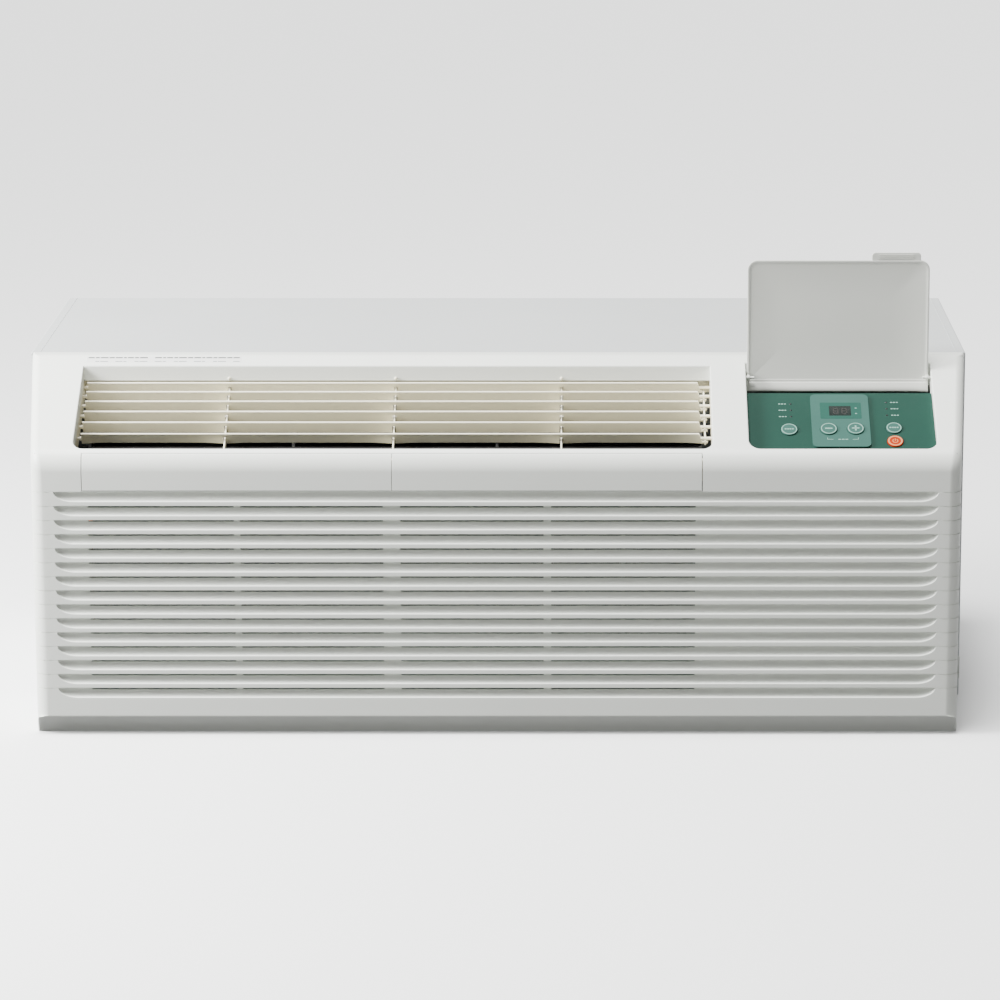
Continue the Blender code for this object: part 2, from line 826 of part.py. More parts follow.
def makeOutdoorFan():
    # hub, pitched blades and the slinger ring that picks up condensate
    bore = shaftRadius + gap
    half = fanWidth / 2
    hub = turned([(bore, -half), (fanHubRadius, -half), (fanHubRadius, half), (bore, half)], 28, ring=True)
    inner = fanRadius - slingerWidth
    ring = turned([(inner, -slingerWidth), (fanRadius, -slingerWidth), (fanRadius, slingerWidth),
                   (inner, slingerWidth)], 40, ring=True)
    blades = bmesh.new()
    for step in range(fanBlades):
        blade = box((fanHubRadius - 0.004, -fanBladeHalfChord, -fanBladeHalfGauge),
                    (fanRadius - 0.001, fanBladeHalfChord, fanBladeHalfGauge))
        bmesh.ops.transform(blade, matrix=Matrix.Rotation(fanBladePitch, 4, "X"), verts=blade.verts)
        taper = [vert for vert in blade.verts if vert.co.x < fanRadius / 2]
        bmesh.ops.scale(blade, vec=(1.0, 0.45, 1.0), verts=taper)
        blades = appendShape(blades, moved(blade, (0.0, 0.0, 0.0), "Z", 2 * math.pi * step / fanBlades))
    bm = unite(unite(ring, blades), hub)
    addNode("condenser_fan", alongY(bm, (0.0, 0.0, 0.0)), "fan",
            (fanCentreX, forward(fanForward), fanCentreZ), smooth=True)


def makeFanShroud():
    bm = blockBetween(shroudLeft, shroudRight, shroudForward - shroudGauge, shroudForward,
                      panTop + gap, cabinetHeight - 0.010)
    hole = rod(fanRadius + shroudTipClearance, 0.03, 48)
    hole = alongY(hole, (fanCentreX, forward(shroudForward) + 0.015, fanCentreZ))
    addNode("fan_shroud", cut(bm, hole), "zinc", smooth=True)


def makeFanMotor():
    length = motorFrontForward - motorBackForward
    tail = fanForward - fanWidth / 2 + 0.002
    # the profile starts at the shaft's end and runs to the motor's front
    reach = motorBackForward - tail
    profile = [(0.0, -reach), (shaftRadius, -reach), (shaftRadius, -0.012),
               (0.018, -0.010), (0.020, 0.0), (motorRadius - 0.006, 0.0), (motorRadius, 0.006),
               (motorRadius, length - 0.006), (motorRadius - 0.006, length), (0.0, length)]
    bm = alongY(turned(profile, 28), (0.0, 0.0, 0.0))
    addNode("fan_motor", bm, "black", (fanCentreX, forward(motorBackForward), fanCentreZ), smooth=True)
    middle = (motorBackForward + motorFrontForward) / 2
    bracket = blockBetween(fanCentreX - bracketHalfWidth, fanCentreX + bracketHalfWidth,
                           middle - bracketHalfGauge, middle + bracketHalfGauge,
                           panTop + gap, fanCentreZ + 0.012)
    cradle = alongY(rod(motorRadius + gap, 0.1, 28), (fanCentreX, forward(middle - 0.05), fanCentreZ))
    bracket = cut(bracket, cradle)
    leg = bracketHalfWidth - bracketLeg
    window = blockBetween(fanCentreX - leg, fanCentreX + leg, middle - 0.02, middle + 0.02,
                          0.022, fanCentreZ - motorRadius - 0.016)
    addNode("motor_bracket", cut(bracket, window), "zinc", smooth=True)


def makeBlowerWheel():
    # tangential wheel: end discs and dividers joined by long vanes, a stub shaft at the left
    length = blowerRight - blowerLeft
    disc = blowerDisc
    bm = rod(blowerRadius, length, 32)
    bm = cut(bm, moved(rod(blowerRadius - blowerWall, length - 2 * disc, 32), (0.0, 0.0, disc)))
    slots = bmesh.new()
    section = (length - disc) / blowerSections
    for row in range(blowerSections):
        low = disc + row * section
        for step in range(blowerSlots):
            slot = box((blowerRadius - 2 * blowerWall, -blowerSlotWidth / 2, low),
                       (blowerRadius + 0.01, blowerSlotWidth / 2, low + section - disc))
            slots = appendShape(slots, moved(slot, (0.0, 0.0, 0.0), "Z", 2 * math.pi * step / blowerSlots))
    bm = cut(bm, slots)
    bm = unite(bm, moved(rod(shaftRadius, 0.014, 14), (0.0, 0.0, -0.0135)))
    bore = moved(rod(shaftRadius + gap, 0.012, 14), (0.0, 0.0, length - 0.001))
    boss = moved(rod(blowerBoss, 0.010, 14), (0.0, 0.0, length - 0.0005))
    bm = cut(unite(bm, boss), bore)
    addNode("blower_wheel", alongX(bm, (blowerLeft, 0.0, 0.0)), "fan",
            (0.0, forward(blowerForward), blowerHeight), smooth=True)


def makeBlowerSupports():
    # bearing block at the left end
    right = blowerLeft - 0.0045
    axis = forward(blowerForward)
    bm = blockBetween(right - bearingGauge, right, blowerForward - bearingHalfDepth,
                      blowerForward + bearingHalfDepth, blowerHeight - bearingFoot,
                      blowerHeight + bearingHalfDepth)
    hole = alongX(rod(shaftRadius + gap, 0.03, 14), (blowerLeft - 0.02, axis, blowerHeight))
    addNode("blower_bearing", cut(bm, hole), "black", smooth=True)
    # motor at the right end
    start = blowerRight + 0.0105
    radius, end = blowerMotorRadius, blowerMotorLength
    profile = [(0.0, -0.008), (shaftRadius, -0.008), (shaftRadius, 0.004), (0.016, 0.006),
               (radius - 0.002, 0.008), (radius, 0.014), (radius, end), (radius - 0.004, end + 0.006),
               (0.0, end + 0.006)]
    bm = alongX(turned(profile, 26), (start, axis, blowerHeight))
    addNode("blower_motor", bm, "black", smooth=True)


def makeBlowerScroll():
    # curved rear wall behind the wheel, from its foot up to the outlet
    inner = blowerRadius + scrollClearance
    outer = inner + scrollGauge
    steps = 12
    arcs = [math.radians(100.0 + 150.0 * step / steps) for step in range(steps + 1)]
    centreY = forward(blowerForward)
    outline = []
    for reach, angles in ((outer, arcs), (inner, list(reversed(arcs)))):
        for angle in angles:
            outline.append((centreY - reach * math.cos(angle), blowerHeight + reach * math.sin(angle)))
    bm = prism(outline, "X", blowerLeft + 0.001, blowerRight - 0.001)
    addNode("blower_scroll", bm, "foam", smooth=True)


def makeCondensateTray():
    low = panTop + gap
    bm = blockBetween(coilLeft - trayWall, coilRight + trayWall, trayBackForward, trayFrontForward,
                      low, trayTop)
    inner = blockBetween(coilLeft, coilRight, trayBackForward + trayWall, trayFrontForward - trayWall,
                         trayFloor, trayTop + 0.01)
    addNode("condensate_tray", cut(bm, inner), "foam")


def makeHeater():
    # one rod folded back and forth behind the indoor coil
    ends = [coilLeft + heaterEndSpace, coilRight - heaterEndSpace]
    points = []
    for row in range(heaterPasses):
        height = heaterBottom + heaterPitch * row
        points += [(x, forward(heaterForward), height) for x in ends]
        ends.reverse()
    addPipe("heater_element", points, heaterRadius, heaterBend, "heater")


def makeControlBox():
    # an open-fronted steel box holding the run capacitor and the transformer
    gauge = controlBoxGauge
    bm = blockBetween(controlBoxLeft, controlBoxRight, controlBoxBackForward, controlBoxFrontForward,
                      controlBoxBottom, controlBoxTop)
    inner = blockBetween(controlBoxLeft + gauge, controlBoxRight - gauge, controlBoxBackForward + gauge,
                         controlBoxFrontForward + 0.01, controlBoxBottom + gauge, controlBoxTop - gauge)
    addNode("control_box", cut(bm, inner), "zinc")
    low = controlBoxBottom + 2 * gauge
    radius, height = capacitorRadius, capacitorHeight
    top = low + height
    profile = [(0.0, low), (radius - 0.0005, low), (radius, top), (radius - 0.0025, top + 0.004),
               (0.006, top + 0.005), (0.005, top + 0.014), (0.0, top + 0.014)]
    place = (capacitorX, forward(capacitorForward), 0.0)
    addNode("run_capacitor", turned(profile, 22), "steel", place, smooth=True)
    core = blockBetween(transformerLeft, transformerRight, 0.050, 0.095, low, low + 0.042)
    winding = blockBetween(transformerLeft + 0.008, transformerRight - 0.008, 0.042, 0.103,
                           low + 0.007, low + 0.035)
    addNode("transformer", unite(core, winding), "black")


# The keypad and the control board lie parallel to the sloping top
keypadFrontForward = outletFrontForward - 0.0005
keypadOrigin = (0.0, forward(keypadFrontForward),
                slopeHeight(keypadFrontForward) - keypadDepth / math.cos(slopeAngle))


def upKeypad(distance):
    # distance up the keypad of a place this far in front of the sleeve's edge
    return (keypadFrontForward - distance) / math.cos(slopeAngle)


def keypadPoint(x, distance, lift):
    up = upKeypad(distance)
    return (x, keypadOrigin[1] + up * math.cos(slopeAngle) - lift * math.sin(slopeAngle),
            keypadOrigin[2] + up * math.sin(slopeAngle) + lift * math.cos(slopeAngle))


def makeKeypad():
    up = upKeypad(keypadBackForward)
    low, high = (recessLeft + gap, 0.0), (recessRight - gap, up)
    corner = recessCorner + 0.001
    outline = filleted([(*low, corner), (high[0], low[1], corner), (*high, 0.0), (low[0], high[1], 0.0)])
    bm = prism(outline, "Z", -keypadGauge, 0.0)
    plinth = roundedRectangle((displayPlinthLeft, upKeypad(plinthFrontForward)),
                              (displayPlinthRight, upKeypad(plinthBackForward)), plinthCorner)
    bm = unite(bm, prism(plinth, "Z", -0.001, displayPlinthRise))
    holes = bmesh.new()
    for name, x, distance, radius, stand, key in buttons:
        hole = moved(rod(radius + runningGap, 0.02, 24), (x, upKeypad(distance), -0.01))
        holes = appendShape(holes, hole)
    window = box((displayLeft, upKeypad(displayFrontForward), -0.01),
                 (displayRight, upKeypad(displayBackForward), 0.01))
    bm = cut(bm, appendShape(holes, window))
    addNode("keypad_panel", bm, "keypad", keypadOrigin, slopeAngle, smooth=True)
    glass = box((displayLeft + gap, upKeypad(displayFrontForward) + gap, -keypadGauge),
                (displayRight - gap, upKeypad(displayBackForward) - gap, displayPlinthRise - gap))
    addNode("display_window", glass, "display", keypadOrigin, slopeAngle)
    board = box((recessLeft + boardMargin, 0.012, -boardDrop - boardGauge),
                (recessRight - boardMargin, up - 0.006, -boardDrop))
    addNode("control_board", board, "board", keypadOrigin, slopeAngle)


def makeButtons():
    for name, x, distance, radius, stand, key in buttons:
        top = stand + buttonRise
        under = -keypadGauge - buttonTravel - 2 * gap
        flange = radius + buttonFlangeReach
        shoulder = under + buttonTravel
        profile = [(0.0, under - buttonFlange), (flange, under - buttonFlange), (flange, shoulder),
                   (radius, shoulder), (radius, top - 0.0006), (radius - buttonEdge, top), (0.0, top)]
        bm = turned(profile, 22)
        addNode(name, bm, key, keypadPoint(x, distance, 0.0), slopeAngle, smooth=True)


# The door's pivot: under the sloping top, near the recess's back edge
pivotFoot = doorPivotForward + doorPivotDepth * math.sin(slopeAngle)
doorPivot = (0.0, forward(doorPivotForward), slopeHeight(pivotFoot) - doorPivotDepth * math.cos(slopeAngle))
doorFace = doorPivotDepth + doorLift


def makeControlDoor():
    # modelled standing open; the dished inner face looks forward, the tail hangs below the pivot
    left = doorCentre - doorWidth / 2
    right = doorCentre + doorWidth / 2
    bottom = -doorTail
    top = doorLength - doorTail
    outline = filleted([(left, bottom, 0.0), (right, bottom, 0.0),
                        (right, top, doorCorner), (left, top, doorCorner)])
    bm = prism(outline, "Y", doorFace, doorFace + doorGauge)
    tab = filleted([(tabLeft, top - 0.002, 0.0), (tabRight, top - 0.002, 0.0),
                    (tabRight, top + tabLength, 0.004), (tabLeft, top + tabLength, 0.004)])
    bm = unite(bm, prism(tab, "Y", doorFace + 0.0003, doorFace + doorGauge - 0.0003))
    dish = roundedRectangle((left + doorRim, bottom + 0.010), (right - doorRim, top - doorRim), 0.006)
    bm = cut(bm, prism(dish, "Y", doorFace - 0.01, doorFace + doorDish))
    rear = doorFace + doorGauge
    chamfer = prism([(rear - 0.0025, bottom - 0.0002), (rear + 0.001, bottom - 0.0002),
                     (rear + 0.001, bottom + 0.0035)], "X", left - 0.01, right + 0.01)
    bm = cut(bm, chamfer)
    for start in (left, right - knuckleLength):
        knuckle = alongX(rod(knuckleRadius, knuckleLength, 16), (start, 0.0, 0.0))
        reach = knuckleRadius * 0.98
        web = box((start, 0.0, -reach), (start + knuckleLength, doorFace + 0.0008, reach))
        bm = unite(bm, unite(knuckle, web))
    bores = bmesh.new()
    for start in (left, right - knuckleLength):
        bore = alongX(rod(hingePinRadius + gap, knuckleLength + 0.004, 12), (start - 0.002, 0.0, 0.0))
        bores = appendShape(bores, bore)
    bm = cut(bm, bores)
    addNode("control_door", bm, "door", doorPivot, smooth=True)
    for name, start in (("hinge_pin_left", recessLeft - 0.0020), ("hinge_pin_right", recessRight - 0.0095)):
        pin = alongX(rod(hingePinRadius, 0.0115, 12), (start, doorPivot[1], doorPivot[2]))
        addNode(name, pin, "steel", smooth=True)


def bladeForward(index):
    return bladeFirstForward + bladePitchFirst * index + bladePitchStep * index * (index - 1) / 2


def bladePivot(index):
    edge = bladeForward(index)
    reach = bladeChord / 2
    return (0.0, forward(edge - reach * math.sin(bladeLean)),
            slopeHeight(edge) - collarDrop - reach * math.cos(bladeLean))


def bladeSolid():
    # chord along Z, thickness along Y, before the lean is set
    half = bladeChord / 2
    thick = bladeGauge / 2
    outline = [(-thick * 0.6, -half), (thick * 0.6, -half), (thick, -half * 0.6), (thick, half * 0.7),
               (thick * 0.7, half), (-thick * 0.7, half), (-thick, half * 0.7), (-thick, -half * 0.6)]
    bm = prism(outline, "X", bladeLeft, bladeRight)
    notches = bmesh.new()
    for place in ribPlaces:
        notch = box((place - 0.0022, -0.004, -half - 0.001), (place + 0.0022, 0.004, 0.0025))
        notches = appendShape(notches, notch)
    bm = cut(bm, notches)
    pinReach = frameWall + 0.0045
    bm = unite(bm, alongX(rod(bladePin, pinReach + 0.002, 12), (bladeLeft - pinReach + 0.001, 0.0, 0.0)))
    reachRight = outletRight + 0.0022 - bladeRight
    bm = unite(bm, alongX(rod(bladePin, reachRight, 12), (bladeRight - 0.001, 0.0, 0.0)))
    return unite(bm, alongX(rod(crankPin, 0.0062, 12), (bladeRight - 0.001, 0.0, -crankThrow)))


def makeBlades():
    for index in range(bladeCount):
        name = "louvre_blade_" + str(index + 1)
        addNode(name, bladeSolid(), "blade", bladePivot(index), bladeLean, smooth=True)


def crankPoint(index):
    pivot = bladePivot(index)
    return (0.0, pivot[1] + crankThrow * math.sin(bladeLean), pivot[2] - crankThrow * math.cos(bladeLean))


def makeLouvreLink():
    # flat bar whose holes sit on the six crank pins, made along +Y then laid on the pins' line
    first = Vector(crankPoint(0))
    last = Vector(crankPoint(bladeCount - 1))
    length = (last - first).length
    end = linkWidth * 0.7
    outline = roundedRectangle((-end, -linkWidth / 2), (length + end, linkWidth / 2), linkWidth * 0.4)
    start = bladeRight + 0.0018
    bm = prism(outline, "X", start, start + linkGauge)
    holes = bmesh.new()
    for index in range(bladeCount):
        reach = (Vector(crankPoint(index)) - first).length
        holes = appendShape(holes, alongX(rod(crankPin + gap, 0.01, 12), (start - 0.004, reach, 0.0)))
    bm = cut(bm, holes)
    direction = last - first
    addNode("louvre_link", bm, "blade", tuple(first), math.atan2(direction.z, direction.y), smooth=True)


def makeLouvreFrame():
    # open frame under the outlet's collar with the bearing holes and the three cross ribs
    back = frameBackForward
    low = collarDrop + frameDrop
    bm = slopeBlock(outletLeft - frameWall, outletRight + frameWall, back, frameFrontForward,
                    low, -collarDrop - gap)
    edges = [outletLeft, *ribPlaces, outletRight]
    cells = bmesh.new()
    for index, (left, right) in enumerate(zip(edges, edges[1:])):
        cellLeft = left if index == 0 else left + ribGauge / 2
        cellRight = right if index == len(edges) - 2 else right - ribGauge / 2
        cells = appendShape(cells, slopeBlock(cellLeft, cellRight, back + frameWall,
                                              frameFrontForward - frameWall, low + 0.01, 0.01))
    bm = cut(bm, cells)
    # the ribs stop at the height of the blades' pivots
    middle = bladePivot(0)
    pivotForward = junctionY - middle[1]
    ribDrop = slopeHeight(pivotForward) - middle[2]
    above = slopeBlock(outletLeft + 0.001, outletRight - 0.001, back + frameWall,
                       frameFrontForward - frameWall, ribDrop, 0.01)
    bm = cut(bm, above)
    holes = bmesh.new()
    for index in range(bladeCount):
        pivot = bladePivot(index)
        for x in (outletLeft, outletRight):
            hole = alongX(rod(bladePin + runningGap, 0.012, 12), (x - 0.006, pivot[1], pivot[2]))
            holes = appendShape(holes, hole)
    addNode("louvre_frame", cut(bm, holes), "blade", smooth=True)


def filterRear(height):
    # distance in front of the sleeve's edge of the filter's rear face at this height
    return flapBackForward + 0.0008 + (height - bendHeight(flapBackForward)) * math.tan(filterTilt)


def bendCentre():
    tangent = bendRadius * math.tan((math.pi / 2 - slopeAngle) / 2)
    return (coverDepth - bendRadius, slopeHeight(coverDepth) - tangent)


def bendHeight(distance):
    # height of the rounded bend between the slope and the front face
    centre = bendCentre()
    return centre[1] + math.sqrt(bendRadius ** 2 - (distance - centre[0]) ** 2)


def makeFilters():
    # one piece: the curved pull flap that closes the cover's slot and the screen panel hanging from it
    centre = bendCentre()
    flapTopForward = flapBackForward + flapGap
    startAngle = math.acos((flapTopForward - centre[0]) / bendRadius)
    steps = 5
    flapBottom = grooveTop + flapRest + flapGap
    outer = []
    for step in range(steps + 1):
        angle = startAngle * (1 - step / steps)
        outer.append((centre[0] + bendRadius * math.cos(angle), centre[1] + bendRadius * math.sin(angle)))
    outer.append((coverDepth, flapBottom))
    innerRadius = bendRadius - flapGauge
    inner = [(coverDepth - flapGauge, flapBottom)]
    joinAngle = startAngle * 0.62
    for step in range(4):
        angle = joinAngle * step / 3
        inner.append((centre[0] + innerRadius * math.cos(angle), centre[1] + innerRadius * math.sin(angle)))
    frontFace = filterGauge / math.cos(filterTilt)
    joinHeight = inner[-1][1] - 0.004
    rearTop = outer[0][1] - 0.003
    rearBottom = filterRear(filterBottom)
    panel = [(filterRear(joinHeight) + frontFace, joinHeight), (rearBottom + frontFace, filterBottom),
             (rearBottom, filterBottom), (filterRear(rearTop), rearTop)]
    outline = [(forward(distance), height) for distance, height in outer + inner + panel]
    middle = (filterRear(0.15), 0.15)
    local = [(y - forward(middle[0]), z - middle[1]) for y, z in outline]
    spans = (("filter_left", filterLeft, filterMiddle), ("filter_right", filterMiddle, filterRight))
    for name, left, right in spans:
        bm = prism(local, "X", left + flapGap / 2, right - flapGap / 2)
        addNode(name, bm, "filter", (0.0, forward(middle[0]), middle[1]))


def makeCordGland():
    profile = [(glandBore, -0.008), (glandBody, -0.008), (glandBody, gap), (glandFlange, gap),
               (glandFlange, 0.0014), (glandFlange - 0.0015, 0.0022), (glandBore, 0.0022)]
    addNode("cord_gland", onRightEnd(turned(profile, 20, ring=True)), "rubber", smooth=True)


makeWallSleeve()
makeRearGrille()
makeBasePan()
makeBulkhead()
makeVentDoor()
makeCoil("evaporator_coil", coilLeft, coilRight, coilBackForward, coilFrontForward,
         coilBottom, coilBottom + coilHeight)
makeCoil("condenser_coil", condenserLeft, condenserRight, condenserForward - condenserThickness,
         condenserForward, panTop + 0.006, cabinetHeight - 0.012)
makeCompressor()
makeAccumulator()
makePipes()
makeOutdoorFan()
makeFanShroud()
makeFanMotor()
makeBlowerWheel()
makeBlowerSupports()
makeBlowerScroll()
makeCondensateTray()
makeHeater()
makeControlBox()
makeKeypad()
makeButtons()
makeControlDoor()
makeBlades()
makeLouvreLink()
makeLouvreFrame()
makeFilters()
makeCordGland()
makeFrontCover()
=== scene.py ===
import json
import math

import bmesh
import bpy
from mathutils import Matrix, Vector

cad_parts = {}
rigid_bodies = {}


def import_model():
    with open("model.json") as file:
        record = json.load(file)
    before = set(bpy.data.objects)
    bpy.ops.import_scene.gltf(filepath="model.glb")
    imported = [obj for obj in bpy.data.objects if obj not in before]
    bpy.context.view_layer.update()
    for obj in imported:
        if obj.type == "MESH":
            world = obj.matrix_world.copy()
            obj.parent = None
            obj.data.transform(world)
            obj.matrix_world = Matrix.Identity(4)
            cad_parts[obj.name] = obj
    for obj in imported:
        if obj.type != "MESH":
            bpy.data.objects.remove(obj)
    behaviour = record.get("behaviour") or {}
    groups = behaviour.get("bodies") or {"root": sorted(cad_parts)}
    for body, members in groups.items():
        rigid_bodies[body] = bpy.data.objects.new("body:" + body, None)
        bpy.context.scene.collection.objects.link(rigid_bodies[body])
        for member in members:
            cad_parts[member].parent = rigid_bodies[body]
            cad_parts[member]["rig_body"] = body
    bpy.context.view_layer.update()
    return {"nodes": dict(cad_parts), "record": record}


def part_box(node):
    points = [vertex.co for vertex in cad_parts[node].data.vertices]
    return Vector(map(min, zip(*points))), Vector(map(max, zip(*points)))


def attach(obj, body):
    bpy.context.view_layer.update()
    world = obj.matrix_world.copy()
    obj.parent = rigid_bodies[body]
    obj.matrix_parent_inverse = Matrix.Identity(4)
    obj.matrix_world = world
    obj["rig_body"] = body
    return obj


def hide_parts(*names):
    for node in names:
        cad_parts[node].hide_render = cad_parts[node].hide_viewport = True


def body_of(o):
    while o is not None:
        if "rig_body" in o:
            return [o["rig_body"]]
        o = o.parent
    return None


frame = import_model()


def boxOf(node):
    low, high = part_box(node)
    return Vector(low), Vector(high)


def linear(hexColour):
    # sRGB hex to linear RGBA
    channels = [int(hexColour[i:i + 2], 16) / 255 for i in (1, 3, 5)]
    return tuple(c / 12.92 if c <= 0.04045 else ((c + 0.055) / 1.055) ** 2.4 for c in channels) + (1.0,)


def addNode(tree, kind, settings=None, links=None):
    # settings: attributes or input values; links: input name to (node, output name)
    node = tree.nodes.new(kind)
    for key, value in (settings or {}).items():
        if isinstance(key, int) or key in node.inputs:
            node.inputs[key].default_value = value
        else:
            setattr(node, key, value)
    for key, (source, output) in (links or {}).items():
        tree.links.new(source.outputs[output], node.inputs[key])
    return node


def ringLoft(rings, closed=True):
    # joins equal loops one after another, with a face over each end unless it is left open
    bm = bmesh.new()
    rows = [[bm.verts.new(point) for point in ring] for ring in rings]
    for first, second in zip(rows, rows[1:]):
        for i in range(len(first)):
            j = (i + 1) % len(first)
            bm.faces.new([first[i], first[j], second[j], second[i]])
    if closed:
        bm.faces.new(rows[0])
        bm.faces.new(list(reversed(rows[-1])))
    bmesh.ops.recalc_face_normals(bm, faces=bm.faces)
    return bm


def prism(outline, axis, start, end):
    # a closed outline in the plane across the axis, pushed along it
    order = {"X": (2, 0, 1), "Y": (0, 2, 1), "Z": (0, 1, 2)}[axis]
    return ringLoft([[[(a, b, t)[i] for i in order] for a, b in outline] for t in (start, end)])


def box(low, high):
    corners = [(low[0], low[1]), (high[0], low[1]), (high[0], high[1]), (low[0], high[1])]
    return prism(corners, "Z", low[2], high[2])


def turned(profile, segments=32, closed=False):
    # a profile of (radius, height) turned about Z
    bm = bmesh.new()
    rows = []
    for radius, height in profile:
        count = 1 if radius == 0.0 else segments
        angles = [2 * math.pi * s / segments for s in range(count)]
        rows.append([bm.verts.new((radius * math.cos(a), radius * math.sin(a), height)) for a in angles])
    pairs = list(zip(rows, rows[1:])) + ([(rows[-1], rows[0])] if closed else [])
    for lower, upper in pairs:
        for s in range(segments):
            e = (s + 1) % segments
            corners = [row[n % len(row)] for row, n in ((lower, s), (lower, e), (upper, e), (upper, s))]
            unique = list(dict.fromkeys(corners))
            if len(unique) > 2:
                bm.faces.new(unique)
    bmesh.ops.recalc_face_normals(bm, faces=bm.faces)
    return bm


def filleted(corners, stepAngle=9.0):
    # corners are (a, b, radius); a radius of zero keeps the corner sharp
    outline = []
    for index, (a, b, radius) in enumerate(corners):
        if radius == 0.0:
            outline.append((a, b))
            continue
        here = Vector((a, b))
        before = (Vector(corners[index - 1][:2]) - here).normalized()
        after = (Vector(corners[(index + 1) % len(corners)][:2]) - here).normalized()
        half = before.angle(after) / 2
        centre = here + (before + after).normalized() * (radius / math.sin(half))
        start = here + before * (radius / math.tan(half)) - centre
        end = here + after * (radius / math.tan(half)) - centre
        turn = start.angle_signed(end)
        steps = max(2, round(abs(math.degrees(turn)) / stepAngle))
        for step in range(steps + 1):
            arm = start.copy()
            arm.rotate(Matrix.Rotation(-turn * step / steps, 2))
            outline.append(tuple(centre + arm))
    return outline


def roundedRectangle(left, right, low, high, radius):
    return filleted([(left, low, radius), (right, low, radius), (right, high, radius), (left, high, radius)])


def closedUp(bm):
    # points that coincide become one, and the faces all look outwards
    bmesh.ops.remove_doubles(bm, verts=bm.verts, dist=0.00001)
    bmesh.ops.recalc_face_normals(bm, faces=bm.faces)
    return bm


def moved(bm, matrix):
    bmesh.ops.transform(bm, matrix=matrix, verts=bm.verts)
    return bm


def joined(parts):
    # several separate shapes in one bmesh
    whole = bmesh.new()
    for bm in parts:
        mesh = bpy.data.meshes.new("work")
        bm.to_mesh(mesh)
        bm.free()
        whole.from_mesh(mesh)
        bpy.data.meshes.remove(mesh)
    return whole


def inScene(name, data):
    # an object for a mesh, light or camera, linked to the scene
    body = bpy.data.objects.new(name, data)
    bpy.context.scene.collection.objects.link(body)
    return body


def meshObject(name, bm):
    mesh = bpy.data.meshes.new(name)
    bm.to_mesh(mesh)
    bm.free()
    return inScene(name, mesh)


def evaluatedMesh(body):
    bpy.context.view_layer.update()
    graph = bpy.context.evaluated_depsgraph_get()
    return bpy.data.meshes.new_from_object(body.evaluated_get(graph))


def discard(body):
    mesh = body.data
    bpy.data.objects.remove(body)
    bpy.data.meshes.remove(mesh)


def finishedShape(body):
    # the object's shape with its modifiers applied; the object itself is thrown away
    mesh = evaluatedMesh(body)
    discard(body)
    bm = bmesh.new()
    bm.from_mesh(mesh)
    bpy.data.meshes.remove(mesh)
    return bm


def cut(target, tool):
    body, cutter = meshObject("work", target), meshObject("work", tool)
    modifier = body.modifiers.new("cut", "BOOLEAN")
    modifier.operation = "DIFFERENCE"
    modifier.solver = "EXACT"
    modifier.object = cutter
    shape = finishedShape(body)
    discard(cutter)
    return shape


def beveled(bm, width, segments=2, angle=30.0):
    # rounds every edge sharper than the angle
    body = meshObject("work", bm)
    modifier = body.modifiers.new("round", "BEVEL")
    modifier.width = width
    modifier.segments = segments
    modifier.limit_method = "ANGLE"
    modifier.angle_limit = math.radians(angle)
    return finishedShape(body)


def painted(bm, index):
    # every face takes the material at the index
    for face in bm.faces:
        face.material_index = index
    return bm


def repeated(bm, name, count, step):
    # Geometry Nodes: the shape set out again and again along a line of equal steps
    body = meshObject(name, bm)
    tree = bpy.data.node_groups.new(name + "Row", "GeometryNodeTree")
    tree.interface.new_socket("Geometry", in_out="INPUT", socket_type="NodeSocketGeometry")
    countSocket = tree.interface.new_socket("Count", in_out="INPUT", socket_type="NodeSocketInt")
    stepSocket = tree.interface.new_socket("Step", in_out="INPUT", socket_type="NodeSocketVector")
    tree.interface.new_socket("Geometry", in_out="OUTPUT", socket_type="NodeSocketGeometry")
    given = addNode(tree, "NodeGroupInput")
    line = addNode(tree, "GeometryNodeMeshLine", {"mode": "OFFSET"},
                   {"Count": (given, "Count"), "Offset": (given, "Step")})
    placed = addNode(tree, "GeometryNodeInstanceOnPoints", None,
                     {"Points": (line, "Mesh"), "Instance": (given, "Geometry")})
    real = addNode(tree, "GeometryNodeRealizeInstances", None, {"Geometry": (placed, "Instances")})
    finish = addNode(tree, "GeometryNodeSetMaterial", {"Material": workMaterial},
                     {"Geometry": (real, "Geometry")})
    addNode(tree, "NodeGroupOutput", None, {"Geometry": (finish, "Geometry")})
    modifier = body.modifiers.new("row", "NODES")
    modifier.node_group = tree
    modifier[countSocket.identifier] = count
    modifier[stepSocket.identifier] = step
    shape = finishedShape(body)
    bpy.data.node_groups.remove(tree)
    return painted(shape, 0)


def piece(name, bm, looks, body, replaces=(), smooth=35.0):
    # a finished piece at the origin, riding on its body; looks is one material or a list of them
    made = meshObject(name, bm)
    mesh = made.data
    for material in looks if isinstance(looks, list) else [looks]:
        mesh.materials.append(material)
    if smooth:
        # face-weighted normals keep the broad faces flat and only the eased edges round
        mesh.shade_smooth()
        mesh.set_sharp_from_angle(angle=math.radians(smooth))
        modifier = made.modifiers.new("weigh", "WEIGHTED_NORMAL")
        modifier.keep_sharp = True
        made.data = evaluatedMesh(made)
        made.data.name = name
        made.modifiers.remove(modifier)
        bpy.data.meshes.remove(mesh)
    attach(made, body)
    if replaces:
        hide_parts(*replaces)


workMaterial = bpy.data.materials.new("work")


def newMaterial(name):
    material = bpy.data.materials.new(name)
    material.use_nodes = True
    tree = material.node_tree
    tree.nodes.clear()
    shader = addNode(tree, "ShaderNodeBsdfPrincipled")
    addNode(tree, "ShaderNodeOutputMaterial", None, {"Surface": (shader, "BSDF")})
    place = addNode(tree, "ShaderNodeTexCoord")
    return material, tree, shader, place


def perMetre(millimetres):
    # a texture scale whose features are about this many millimetres across
    return 1000.0 / millimetres


